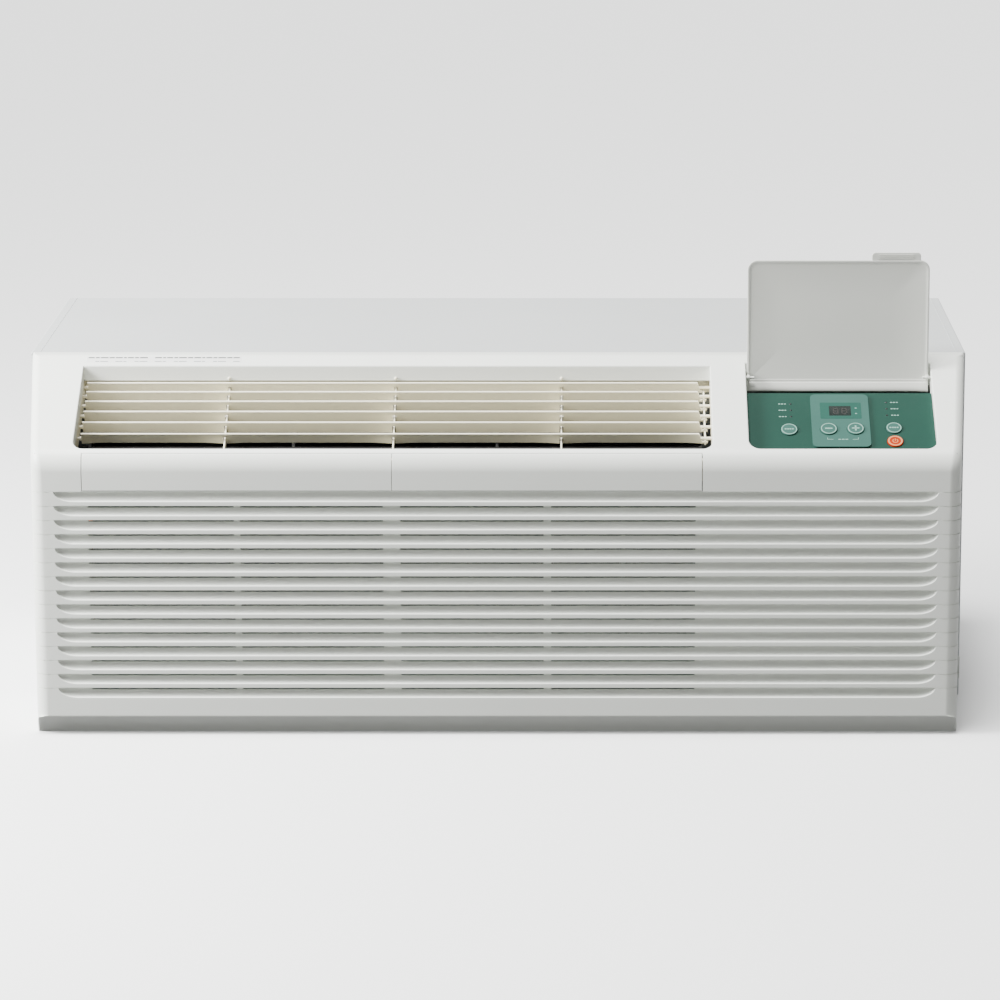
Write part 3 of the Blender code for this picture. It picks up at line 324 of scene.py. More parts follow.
def speckledFinish(name, base, other, roughness, metallic=0.0, grain=0.8, bump=0.04, patch=20.0,
                   patchAmount=0.35, roughSpread=0.06, stretch=(1.0, 1.0, 1.0), coat=0.0, ior=1.5):
    # two tones drifting over patches, fine grain in the gloss and in the surface; grain and patch in mm
    material, tree, shader, place = newMaterial(name)
    shader.inputs["Metallic"].default_value = metallic
    if metallic == 0.0:
        shader.inputs["IOR"].default_value = ior
    if coat:
        shader.inputs["Coat Weight"].default_value = coat
        shader.inputs["Coat Roughness"].default_value = 0.12
    turn = addNode(tree, "ShaderNodeMapping", {"Scale": stretch}, {"Vector": (place, "Object")})
    broad = addNode(tree, "ShaderNodeTexNoise", {"Scale": perMetre(patch), "Detail": 3.0, "Roughness": 0.55},
                    {"Vector": (turn, "Vector")})
    fine = addNode(tree, "ShaderNodeTexNoise", {"Scale": perMetre(grain), "Detail": 4.0, "Roughness": 0.6},
                   {"Vector": (turn, "Vector")})
    noiseRange = {"From Min": 0.3, "From Max": 0.7}
    spread = addNode(tree, "ShaderNodeMapRange", {**noiseRange, "To Min": 0.0, "To Max": patchAmount},
                     {"Value": (broad, "Fac")})
    tone = addNode(tree, "ShaderNodeMix", {"data_type": "RGBA", 6: linear(base), 7: linear(other)},
                   {0: (spread, "Result")})
    gloss = addNode(tree, "ShaderNodeMapRange", {**noiseRange, "To Min": roughness - roughSpread,
                                                 "To Max": roughness + roughSpread}, {"Value": (fine, "Fac")})
    relief = addNode(tree, "ShaderNodeBump", {"Strength": bump, "Distance": 0.0002}, {"Height": (fine, "Fac")})
    tree.links.new(tone.outputs[2], shader.inputs["Base Color"])
    tree.links.new(gloss.outputs["Result"], shader.inputs["Roughness"])
    tree.links.new(relief.outputs["Normal"], shader.inputs["Normal"])
    return material


# ABS, injection moulded in an eroded tool: a satin skin with a very fine even grain
coverAbs = speckledFinish("mouldedAbsCover", "#EDF0E9", "#E5E8E1", 0.42, grain=0.9, bump=0.06, patch=160.0)
# the same plastic in a duller batch, for the door
doorAbs = speckledFinish("mouldedAbsDoor", "#E4E6DE", "#DADCD4", 0.36, grain=0.9, bump=0.05, patch=120.0)
# cream polystyrene, a little yellower and glossier, its tones drawn out along the blades
bladeStyrene = speckledFinish("mouldedStyreneBlade", "#F4EFD9", "#ECE6CC", 0.40, grain=1.0, bump=0.05,
                              patch=90.0, stretch=(0.1, 1.0, 1.0))
# zinc-coated sheet with baked polyester powder: flat sheen with orange peel a few millimetres across
sleevePaint = speckledFinish("powderPaintedSteel", "#C9CCCB", "#BFC2C1", 0.48, grain=3.0, bump=0.05,
                             patch=220.0)
# screen-printed polycarbonate film: even satin greens, with a low IOR for its matted face
keypadFilm = speckledFinish("printedKeypadFilm", "#15392F", "#1A4035", 0.46, patch=40.0, ior=1.2)
plinthFilm = speckledFinish("printedPlinthFilm", "#31564D", "#375D54", 0.46, patch=40.0, ior=1.2)
frameFilm = speckledFinish("printedDisplayBorder", "#1E4A3F", "#235046", 0.46, patch=30.0, ior=1.2)
# pale ink marks, and small dark lamps that look like glossy beads
markFilm = speckledFinish("printedPaleMark", "#76A091", "#6C9687", 0.40, bump=0.02)
darkMark = speckledFinish("smallDarkLens", "#0B1714", "#101F1B", 0.20, bump=0.02)
# tinted acrylic over an unlit digit display: clear dark gloss, the figures only just lighter
displayAcrylic = speckledFinish("tintedAcrylic", "#1C1A19", "#211F1D", 0.22, grain=1.5, bump=0.01, coat=0.6)
digitGrey = speckledFinish("unlitDigitSegment", "#25221F", "#2A2724", 0.30, grain=1.0, bump=0.01)
# orange ABS key with paler ink: saturated and matt
powerKey = speckledFinish("mouldedOrangeKey", "#A02F05", "#962A04", 0.50, bump=0.03, ior=1.15)
paleOrange = speckledFinish("printedPaleOrange", "#D2875C", "#C87D52", 0.45, bump=0.02, ior=1.15)
# clear notice film, satin, with dark and pale grey ink
labelFilm = speckledFinish("clearLabelFilm", "#E9EAE6", "#E2E3DF", 0.25, grain=1.0, bump=0.02, patch=40.0)
labelDark = speckledFinish("printedGreyTick", "#3F4143", "#4A4C4E", 0.45, bump=0.02, patch=8.0)
labelPale = speckledFinish("printedPaleTick", "#85888A", "#8E9193", 0.45, bump=0.02, patch=8.0)
# polyethylene filter frame and its woven screen: waxy and dull
filterPlastic = speckledFinish("mouldedFilterFrame", "#B9BBB5", "#AEB0AA", 0.55, grain=1.0, bump=0.08,
                               patch=90.0)
filterScreen = speckledFinish("wovenNylonScreen", "#8B8E8A", "#7E817D", 0.60, grain=0.6, bump=0.10,
                              patch=90.0)
# zinc on steel sheet: spangle about 14 mm across, lighter and darker
zincSheet = speckledFinish("galvanisedSheet", "#A7ABAD", "#8E9396", 0.38, 0.9, grain=5.0, bump=0.03,
                           patch=14.0, patchAmount=0.8, roughSpread=0.10)
# bare aluminium fins, matt from their coating
finAlloy = speckledFinish("bareAluminiumFin", "#C3C7C9", "#B2B6B9", 0.34, 0.95, grain=2.0, bump=0.05,
                          patch=30.0)
# copper tube, drawn, slightly browned in patches
drawnCopper = speckledFinish("drawnCopperTube", "#C27A53", "#8F5638", 0.30, 1.0, grain=2.5, patch=25.0,
                             patchAmount=0.9, roughSpread=0.10)
# stoved black enamel: smooth dark gloss with a slight ripple
blackEnamel = speckledFinish("blackEnamelledShell", "#17181A", "#202124", 0.35, grain=2.0, bump=0.05,
                             patch=60.0)
# moulded rubber, dull and slightly rough; the cord's gland is in the cover's own light grey
softRubber = speckledFinish("mouldedRubber", "#1A1A1B", "#232324", 0.72, bump=0.12)
paleRubber = speckledFinish("mouldedPaleRubber", "#C4C6C0", "#BBBDB7", 0.62, bump=0.10)
# glass-filled nylon wheels: dark and dry
fanPlastic = speckledFinish("glassFilledFanPlastic", "#161718", "#1C1D1E", 0.60, grain=0.9, bump=0.10,
                            patch=40.0)
# expanded polystyrene: pale beads a few millimetres across
foamPlastic = speckledFinish("expandedPolystyrene", "#E4E4E1", "#D6D6D3", 0.80, grain=3.5, bump=0.35,
                             patch=12.0)
# circuit board under green lacquer
boardLacquer = speckledFinish("lacqueredBoard", "#1E5A33", "#174A29", 0.35, grain=1.5, bump=0.06, patch=15.0)
# bright drawn steel for screws and cans: streaks along X
brightSteel = speckledFinish("drawnBrightSteel", "#B4B6B9", "#9FA2A6", 0.26, 1.0, grain=1.5, patch=90.0,
                             stretch=(0.15, 1.0, 1.0))
# anodised aluminium plate: even silver with a soft sheen
grilleAlloy = speckledFinish("anodisedGrille", "#B3B6B8", "#A6A9AC", 0.40, 0.85, grain=1.2, bump=0.05,
                             patch=120.0)
# steel heater sheath, tinted brown by heat in patches
heaterSteel = speckledFinish("heatTintedSheath", "#5B5752", "#473F3A", 0.45, 0.9, grain=2.0, bump=0.06,
                             patch=30.0, patchAmount=0.8)
print("materials ready")

sleeveLow, sleeveHigh = boxOf("wall_sleeve")
coverLow, coverHigh = boxOf("front_cover")
junctionY = sleeveLow.y
frontY = coverLow.y
topZ = coverHigh.z
coverSizes = {
    "slopeAngle": math.radians(30.0),
    "slopeTop": 0.0157,       # how far in front of the sleeve the slope begins
    "bend": 0.030,            # radius between slope and front
    "topBend": 0.012,
    "toeBends": (0.004, 0.003),
    "bendStep": 3.7,          # degrees between the points of a bend
    "clearance": 0.0003,      # between the cover and the sleeve
    "toeHeight": 0.022,
    "toeSetback": 0.017,
    "wall": 0.0025,
    "frontWall": 0.0087,
    "rimRound": 0.0016,
    "draft": math.radians(5.6),
    "sideInset": 0.0017,
    # how far the end edges are rounded: back, top, slope, front, toe, underside
    "endRounds": (0.0, 0.0045, 0.0095, 0.0130, 0.0022, 0.0010),
    "endSteps": 8,
}
coverDepth = junctionY - frontY


def forward(distance):
    return junctionY - distance


def slopeHeight(distance):
    return topZ - (distance - coverSizes["slopeTop"]) * math.tan(coverSizes["slopeAngle"])


slopeNormal = Vector((0.0, -math.sin(coverSizes["slopeAngle"]), math.cos(coverSizes["slopeAngle"])))


def onSlope(origin):
    # local x is world X, local y runs up the slope and local z stands off it
    return Matrix.Translation(origin) @ Matrix.Rotation(coverSizes["slopeAngle"], 4, "X")


grooves = {
    "count": 15, "pitch": 0.01609, "height": 0.0116, "depth": 0.0065, "top": 0.2802, "half": 0.491,
    "endRound": 0.022,       # how long the rounded end of each groove is
    "overhang": 0.0005, "lip": 0.0009, "land": 0.0008, "slot": 0.0029,
    "line": 0.05,            # the share of a groove that runs on past its end as a fine line
    "panelHalf": 0.497, "panelDepth": 0.014, "wrapDepth": 0.0007, "wrapHeight": 0.0010,
    "columns": ((-0.4541, -0.2917), (-0.2850, -0.1260), (-0.1070, 0.0526), (0.0609, 0.2217)),
}
# wells in the slope: places across, distances forward, front corners' radius and depth
outlet = {"left": -0.470, "right": 0.2406, "back": 0.032, "front": 0.152, "corner": 0.011, "drop": 0.017,
          "knobRise": 0.0025}
recess = {"left": 0.281, "right": 0.4905, "back": 0.0275, "front": 0.152, "corner": 0.0125, "drop": 0.026}
# the opening for the two pull flaps, with a deeper guide below it for the filters
flap = {"left": -0.4599, "right": 0.2292, "back": 0.157, "bottom": 0.2810, "clear": 0.0001, "guide": 0.006,
        "guideTop": 0.3190}


def coverHalf(y, inset=0.0):
    return sleeveHigh.x - coverSizes["sideInset"] - (junctionY - y) * math.tan(coverSizes["draft"]) - inset


def insetCorners(corners, insets):
    # moves each edge of the outline inward; edge i runs from corner i to the next
    lines = []
    for index, inset in enumerate(insets):
        here = Vector(corners[index])
        along = (Vector(corners[(index + 1) % len(corners)]) - here).normalized()
        lines.append((here + Vector((-along.y, along.x)) * inset, along))
    shifted = []
    for index, (point, along) in enumerate(lines):
        beforePoint, beforeAlong = lines[index - 1]
        across = along.x * beforeAlong.y - along.y * beforeAlong.x
        offset = beforePoint - point
        distance = (offset.x * beforeAlong.y - offset.y * beforeAlong.x) / across
        shifted.append(tuple(point + along * distance))
    return shifted


def coverCorners():
    sizes = coverSizes
    back = sizes["clearance"]
    places = [(back, 0.0), (back, topZ), (sizes["slopeTop"], topZ), (coverDepth, slopeHeight(coverDepth)),
              (coverDepth, sizes["toeHeight"]), (coverDepth - sizes["toeSetback"], 0.0)]
    return [(forward(a), b) for a, b in places]


def coverSolid(inset=0.0):
    # the side outline lofted across the width, drawn in towards both drafted ends with rounded end edges
    rounds = coverSizes["endRounds"]
    radii = (0.0, 0.0, coverSizes["topBend"], coverSizes["bend"], *coverSizes["toeBends"])
    steps = coverSizes["endSteps"]
    rows = []
    for side in (-1, 1):
        angles = [math.pi / 2 * step / steps for step in range(steps + 1)]
        for angle in (reversed(angles) if side < 0 else angles):
            gone = 1 - math.cos(angle)
            base = [0.0 if i == 0 else inset for i in range(6)]
            corners = insetCorners(coverCorners(), [b + r * gone for b, r in zip(base, rounds)])
            outline = []
            for i, ((y, z), radius) in enumerate(zip(corners, radii)):
                drawn = max(radius - inset - max(rounds[i - 1], rounds[i]) * gone, 0.001) if radius else 0.0
                before, after = Vector(corners[i - 1]), Vector(corners[(i + 1) % 6])
                single = filleted([(*before, 0.0), (y, z, drawn), (*after, 0.0)], coverSizes["bendStep"])[1:-1]
                for n, place in enumerate(single):
                    share = n / (len(single) - 1) if len(single) > 1 else 0.5
                    endRound = rounds[i - 1] * (1 - share) + rounds[i] * share
                    half = coverHalf(place[0], inset)
                    outline.append((side * (half - endRound * (1 - math.sin(angle))), place[0], place[1]))
            rows.append(outline)
    return closedUp(ringLoft(rows))


def slopeBlock(left, right, back, front, drop, above=0.06):
    corners = ((back, -drop), (front, -drop), (front, above), (back, above))
    return prism([(forward(a), slopeHeight(a) + rise) for a, rise in corners], "X", left, right)


def wellCutter(well):
    # rounded in front, square behind where the back wall stands
    low, high = forward(well["front"]), forward(well["back"])
    outline = filleted([(well["left"], low, well["corner"]), (well["right"], low, well["corner"]),
                        (well["right"], high, 0.0), (well["left"], high, 0.0)])
    return prism(outline, "Z", slopeHeight(well["front"]) - 0.05, topZ + 0.05)


def insideSolid():
    # the room inside the walls, less a block under each well
    wall = coverSizes["wall"]
    front = coverDepth - coverSizes["frontWall"]
    drop = wall / math.cos(coverSizes["slopeAngle"])
    corners = [(-0.01, wall), (-0.01, topZ - wall), (coverSizes["slopeTop"], topZ - wall),
               (front, slopeHeight(front) - drop), (front, coverSizes["toeHeight"]),
               (front - coverSizes["toeSetback"], wall)]
    bm = prism([(forward(a), b) for a, b in corners], "X", -0.5, 0.5)
    for vert in bm.verts:
        vert.co.x = math.copysign(coverHalf(vert.co.y, 2 * wall), vert.co.x)
    for well in (outlet, recess):
        bm = cut(bm, slopeBlock(well["left"] - wall, well["right"] + wall, well["back"] - wall,
                                well["front"] + wall, well["drop"]))
    return bm


def roundRims(bm):
    # softens the upper edges of the two wells in the slope
    rim = []
    for edge in bm.edges:
        if len(edge.link_faces) != 2:
            continue
        normals = [face.normal for face in edge.link_faces]
        onTop = [n.dot(slopeNormal) > 0.995 for n in normals]
        upright = [abs(n.z) < 0.02 for n in normals]
        if (onTop[0] and upright[1]) or (onTop[1] and upright[0]):
            rim.append(edge)
    bmesh.ops.bevel(bm, geom=rim, offset=coverSizes["rimRound"], segments=3, profile=0.5, affect="EDGES")
    return bm


def louvreModule(slotted):
    # one intake groove: undercut edge above, slots at its root, face sloping out to a rounded lip
    g = grooves
    top, height, depth = g["top"], g["height"], g["depth"]
    edge, lip = g["overhang"], g["lip"]
    profile = [(0.0, top + g["land"], False)]
    for step in range(4):
        angle = math.pi / 2 * step / 3
        profile.append((edge * (1 - math.cos(angle)), top + edge * (1 - math.sin(angle)), True))
    # the face stands nearly upright below the slot, then curves out to the lip
    profile += [(depth * 0.55, top, True), (depth - 0.0006, top, True), (depth, top - 0.0005, True)]
    profile.append((depth - 0.0002, top - 0.0005 - g["slot"], True))
    bottom = top - height
    for share, drop in ((0.90, 0.47), (0.80, 0.62), (0.66, 0.74), (0.50, 0.83), (0.34, 0.90)):
        profile.append((depth * share, top - height * drop, True))
    profile.append((lip * 1.4, bottom + lip * 1.05, True))
    for step in range(5):
        angle = math.pi / 2 * step / 4
        drop = 0.0002 * step / 4
        profile.append((lip * 0.9 * (1 - math.sin(angle)), bottom + lip * 0.9 * math.cos(angle) - drop, True))
    profile.append((0.0, top + g["land"] - g["pitch"], False))
    slotIndex = 7   # the stretch of the profile that stands upright at the root
    straight = g["half"] - g["endRound"]
    ends = [straight + g["endRound"] * math.sin(math.pi / 2 * s / 9) for s in range(10)]
    right = ends + [g["half"] + 0.003, g["panelHalf"]]
    inner = [x for column in g["columns"] for x in column] + [0.30, 0.38]
    stations = [-x for x in reversed(right)] + inner + right
    bm = bmesh.new()
    grid = []
    for x in stations:
        over = (abs(x) - straight) / g["endRound"]
        size = 1.0 if over <= 0 else math.sqrt(max(0.0, 1 - over * over)) if over < 1 else 0.0
        size = max(size, g["line"])
        column = []
        for inward, z, scaled in profile:
            place = top - (top - z) * size if scaled and z <= top else z
            column.append(bm.verts.new((x, frontY + inward * (size if scaled else 1.0), place)))
        grid.append(column)
    marked = []
    for i, (first, second) in enumerate(zip(grid, grid[1:])):
        middle = (stations[i] + stations[i + 1]) / 2
        for j in range(len(profile) - 1):
            face = bm.faces.new([first[j], first[j + 1], second[j + 1], second[j]])
            if slotted and j == slotIndex and any(a < middle < b for a, b in g["columns"]):
                marked.append(face)
    bmesh.ops.recalc_face_normals(bm, faces=bm.faces)
    if sum(face.normal.y * face.calc_area() for face in bm.faces) > 0:
        bmesh.ops.reverse_faces(bm, faces=bm.faces)
    if marked:
        # the slots get short walls and stay open behind
        pushed = bmesh.ops.extrude_face_region(bm, geom=marked)
        points = [item for item in pushed["geom"] if isinstance(item, bmesh.types.BMVert)]
        bmesh.ops.translate(bm, verts=points, vec=(0.0, 0.0025, 0.0))
        caps = [item for item in pushed["geom"] if isinstance(item, bmesh.types.BMFace)]
        left = [face for face in marked if face.is_valid and face not in caps]
        bmesh.ops.delete(bm, geom=caps + left, context="FACES_ONLY")
    return bm


def wrapLines():
    # the fine step of each groove's upper edge runs on round the rounded end of the cover
    g = grooves
    slabs = []
    for index in range(g["count"]):
        z = g["top"] - g["pitch"] * index
        for side in (-1, 1):
            xs = sorted((side * (g["panelHalf"] - 0.0002), side * 0.54))
            slabs.append(box((xs[0], frontY - 0.002, z - g["wrapHeight"]), (xs[1], frontY + 0.024, z)))
    return cut(joined(slabs), coverSolid(g["wrapDepth"]))


def makeCover():
    g = grooves
    bm = cut(coverSolid(), insideSolid())
    bm = cut(bm, wellCutter(outlet))
    bm = cut(bm, wellCutter(recess))
    bm = roundRims(bm)
    bm = cut(bm, wrapLines())
    panelTop = g["top"] + g["land"]
    panelBottom = panelTop - g["pitch"] * g["count"]
    bm = cut(bm, box((-g["panelHalf"], frontY - 0.01, panelBottom),
                     (g["panelHalf"], frontY + g["panelDepth"], panelTop)))
    for back, top in ((flap["back"], topZ), (flap["back"] - flap["guide"], flap["guideTop"])):
        bm = cut(bm, box((flap["left"], frontY - 0.01, flap["bottom"] - flap["clear"]),
                         (flap["right"], forward(back), top)))
    single = moved(louvreModule(True), Matrix.Translation((0.0, 0.0, -g["pitch"])))
    rows = repeated(single, "intakeGroove", g["count"] - 1, (0.0, 0.0, -g["pitch"]))
    shape = joined([bm, louvreModule(False), rows])
    piece("roomCover", shape, coverAbs, "chassis", ["front_cover"], 28.0)


makeCover()
print("cover ready")

joints = {joint["name"]: joint for joint in frame["record"]["behaviour"]["joints"]}


alongX = Matrix.Rotation(math.pi / 2, 4, "Y")   # turns what stands on Z to lie along X


def pivotOf(name):
    return Vector(joints[name]["pos_m"])


flapLook = {"gauge": 0.0022, "gap": 0.0006, "edge": 0.00035, "bars": 4, "rail": 0.010, "railGauge": 0.003,
            "screenPitch": 0.0032, "thread": 0.0006, "weftDepth": 0.0018, "warpDepth": 0.0022, "topGap": 0.006,
            "tilt": math.radians(8.0), "bendSteps": 12}


def bendPoint(angle, inset=0.0):
    radius = coverSizes["bend"]
    centreDown = radius * math.tan((math.pi / 2 - coverSizes["slopeAngle"]) / 2)
    centre = (coverDepth - radius, slopeHeight(coverDepth) - centreDown)
    reach = radius - inset
    return forward(centre[0] + reach * math.cos(angle)), centre[1] + reach * math.sin(angle)


def makeFilter(side):
    # the flap follows the cover's bend; behind it a barred frame holds a woven screen, tilted as it slides
    look = flapLook
    node = "filter_" + side
    low, high = boxOf(node)
    left, right = low.x, high.x
    radius = coverSizes["bend"]
    startAngle = math.acos((flap["back"] + look["gap"] - (coverDepth - radius)) / radius)
    angles = [startAngle * (1 - step / look["bendSteps"]) for step in range(look["bendSteps"] + 1)]
    layers = []
    for inset in (0.0, look["gauge"]):
        foot = (frontY + inset, flap["bottom"] + look["gap"])
        layers.append([bendPoint(angle, inset) for angle in angles] + [foot])
    flapShape = beveled(prism(layers[0] + layers[1][::-1], "X", left, right), look["edge"], 2, 40.0)
    piece("pullFlap" + side.capitalize(), flapShape, coverAbs, node)
    rail, gauge, thread, pitch = look["rail"], look["railGauge"], look["thread"], look["screenPitch"]
    reach = (high.z - look["topGap"] - low.z) / math.cos(look["tilt"])
    bars = [box((left, -gauge, start), (right, 0.0, start + rail)) for start in (0.0, reach - rail)]
    for index in range(look["bars"] + 1):
        x = left + (right - left - rail * 0.5) * index / look["bars"]
        bars.append(box((x, -gauge, rail), (x + rail * 0.5, 0.0, reach - rail)))
    place = Matrix.Translation((0.0, high.y, low.z)) @ Matrix.Rotation(look["tilt"], 4, "X")
    frameShape = moved(beveled(joined(bars), 0.0004, 1), place)
    piece("filterFrame" + side.capitalize(), frameShape, filterPlastic, node, [node])
    y = -look["weftDepth"]
    weft = repeated(box((left, y, rail), (right, y + thread, rail + thread)), "screenWeft",
                    int((reach - 2 * rail) / pitch), (0.0, 0.0, pitch))
    y = -look["warpDepth"]
    warp = repeated(box((left, y, rail), (left + thread, y + thread, reach - rail)), "screenWarp",
                    int((right - left) / pitch), (pitch, 0.0, 0.0))
    screen = moved(joined([weft, warp]), place)
    piece("filterScreen" + side.capitalize(), screen, filterScreen, node)


makeFilter("left")
makeFilter("right")
print("filters ready")

bladeLook = {
    "chord": 0.017, "gauge": 0.002, "lean": math.radians(35.0), "stations": 90,
    "scallop": 0.0020, "scallopReach": 0.030,    # waist of the lowest blade's free edge
    "slant": 0.0050, "slantReach": 0.012,        # cut of the right end
    "notch": 0.0021, "notchTop": 0.0022,         # half-width and top of the notches over the ribs
    "pin": 0.0018, "leftPin": 0.0063, "rightPin": 0.0105, "collar": 0.0024, "crank": 0.0015, "throw": 0.006,
}
ribPlaces = (-0.3049, -0.1159, 0.0723)


def bladeSection(chordLow, chordHigh, gauge):
    # a rounded slat: thicker at the upper nose, thin at the lower edge
    half = gauge / 2
    nose = half * 1.35
    points = [(-half * 0.75, chordHigh - nose * 2.4)]
    for step in range(7):
        angle = math.pi * step / 6
        points.append((-nose * math.cos(angle), chordHigh - nose + nose * math.sin(angle)))
    points.append((half * 0.75, chordHigh - nose * 2.4))
    for step in range(5):
        angle = math.pi * step / 4
        points.append((half * 0.55 * math.cos(angle), chordLow + half * 0.5 - half * 0.5 * math.sin(angle)))
    return points


def pinAlongX(start, end, radius, z=0.0):
    # a round pin with its ends chamfered
    bevel, length = radius * 0.2, end - start
    rod = turned([(0.0, 0.0), (radius - bevel, 0.0), (radius, bevel), (radius, length - bevel),
                  (radius - bevel, length), (0.0, length)], 18)
    return moved(rod, Matrix.Translation((start, 0.0, z)) @ alongX)


def makeBlade(index):
    look = bladeLook
    node = "louvre_blade_" + str(index)
    low, high = boxOf(node)
    left, right = low.x + look["leftPin"], high.x - look["rightPin"]
    half = look["chord"] / 2
    stations = [left + (right - left) * s / look["stations"] for s in range(look["stations"] + 1)]
    rings = []
    anchors = (left, *ribPlaces, right)
    for x in stations:
        near = min(abs(x - anchor) for anchor in anchors)
        # only the lowest blade's free edge is waisted between its supports
        waist = look["scallop"] * (1 - max(0.0, 1 - near / look["scallopReach"]) ** 2) if index == 6 else 0.0
        section = bladeSection(-half + waist, half, look["gauge"])
        # the right end is cut aslant
        lean = max(0.0, (x - (right - look["slantReach"])) / look["slantReach"]) * look["slant"]
        rings.append([(x - lean * (z + half) / look["chord"], y, z) for y, z in section])
    # notches for the frame's ribs
    notches = [box((x - look["notch"], -0.004, -half - 0.004), (x + look["notch"], 0.004, look["notchTop"]))
               for x in ribPlaces]
    bm = cut(ringLoft(rings), joined(notches))
    # left pin and its collar, right pin, crank pin
    pins = [pinAlongX(left - look["leftPin"], left + 0.0006, look["pin"]),
            pinAlongX(left - 0.0016, left + 0.0004, look["collar"]),
            pinAlongX(right - 0.003, right + 0.0118, look["pin"]),
            pinAlongX(right - 0.002, right + 0.0052, look["crank"], -look["throw"])]
    pivot = pivotOf(node + "_pivot")
    place = Matrix.Translation((0.0, pivot.y, pivot.z)) @ Matrix.Rotation(look["lean"], 4, "X")
    shape = moved(joined([bm] + pins), place)
    piece("blade" + str(index), shape, bladeStyrene, node, [node], 40.0)


for index in range(1, 7):
    makeBlade(index)
print("blades ready")


def nodeShape(node):
    # a merged copy of a node's mesh
    bm = bmesh.new()
    bm.from_mesh(frame["nodes"][node].data)
    bmesh.ops.remove_doubles(bm, verts=bm.verts, dist=0.000005)
    bmesh.ops.dissolve_limit(bm, angle_limit=math.radians(1.0), verts=bm.verts, edges=bm.edges)
    return bm


def camel(name):
    words = name.split("_")
    return words[0] + "".join(word.capitalize() for word in words[1:])


def softenedCopy(node, material, width=0.0004, extra=()):
    # the node's own shape with its edges eased, plus any extra shapes
    bm = beveled(nodeShape(node), width, 2, 35.0)
    shape = joined([bm, *extra]) if extra else bm
    body = body_of(frame["nodes"][node])[0]
    piece(camel(node), shape, material, body, [node])


def makeLouvreFrame():
    # a small knob on the back wall over each rib, just above the sweep of the first blade
    y = forward(outlet["back"] - 0.0002)
    z = slopeHeight(outlet["back"]) - outlet["drop"] + outlet["knobRise"]
    profile = [(0.0, -0.0012), (0.0016, -0.0012), (0.0016, 0.0022), (0.0011, 0.0029), (0.0, 0.0032)]
    knobs = []
    for x in ribPlaces:
        knob = turned(profile, 16)
        knobs.append(moved(knob, Matrix.Translation((x, y, z)) @ Matrix.Rotation(math.pi / 2, 4, "X")))
    softenedCopy("louvre_frame", bladeStyrene, 0.0003, knobs)
    softenedCopy("louvre_link", bladeStyrene, 0.0002)


makeLouvreFrame()

doorLook = {"rim": 0.0022, "step": 0.0005, "dish": 0.0021, "dishReach": 0.042, "corner": 0.011, "edge": 0.0006,
            "footBand": 0.0085, "foot": 0.0145, "gauge": 0.003, "face": 0.0046,
            "tabLeft": 0.4222, "tabRight": 0.4776, "tabLength": 0.009, "grips": 3, "gripPitch": 0.0018,
            "gripInset": 0.008, "bore": 0.0018, "knuckle": 0.0026, "knuckleLength": 0.0030}


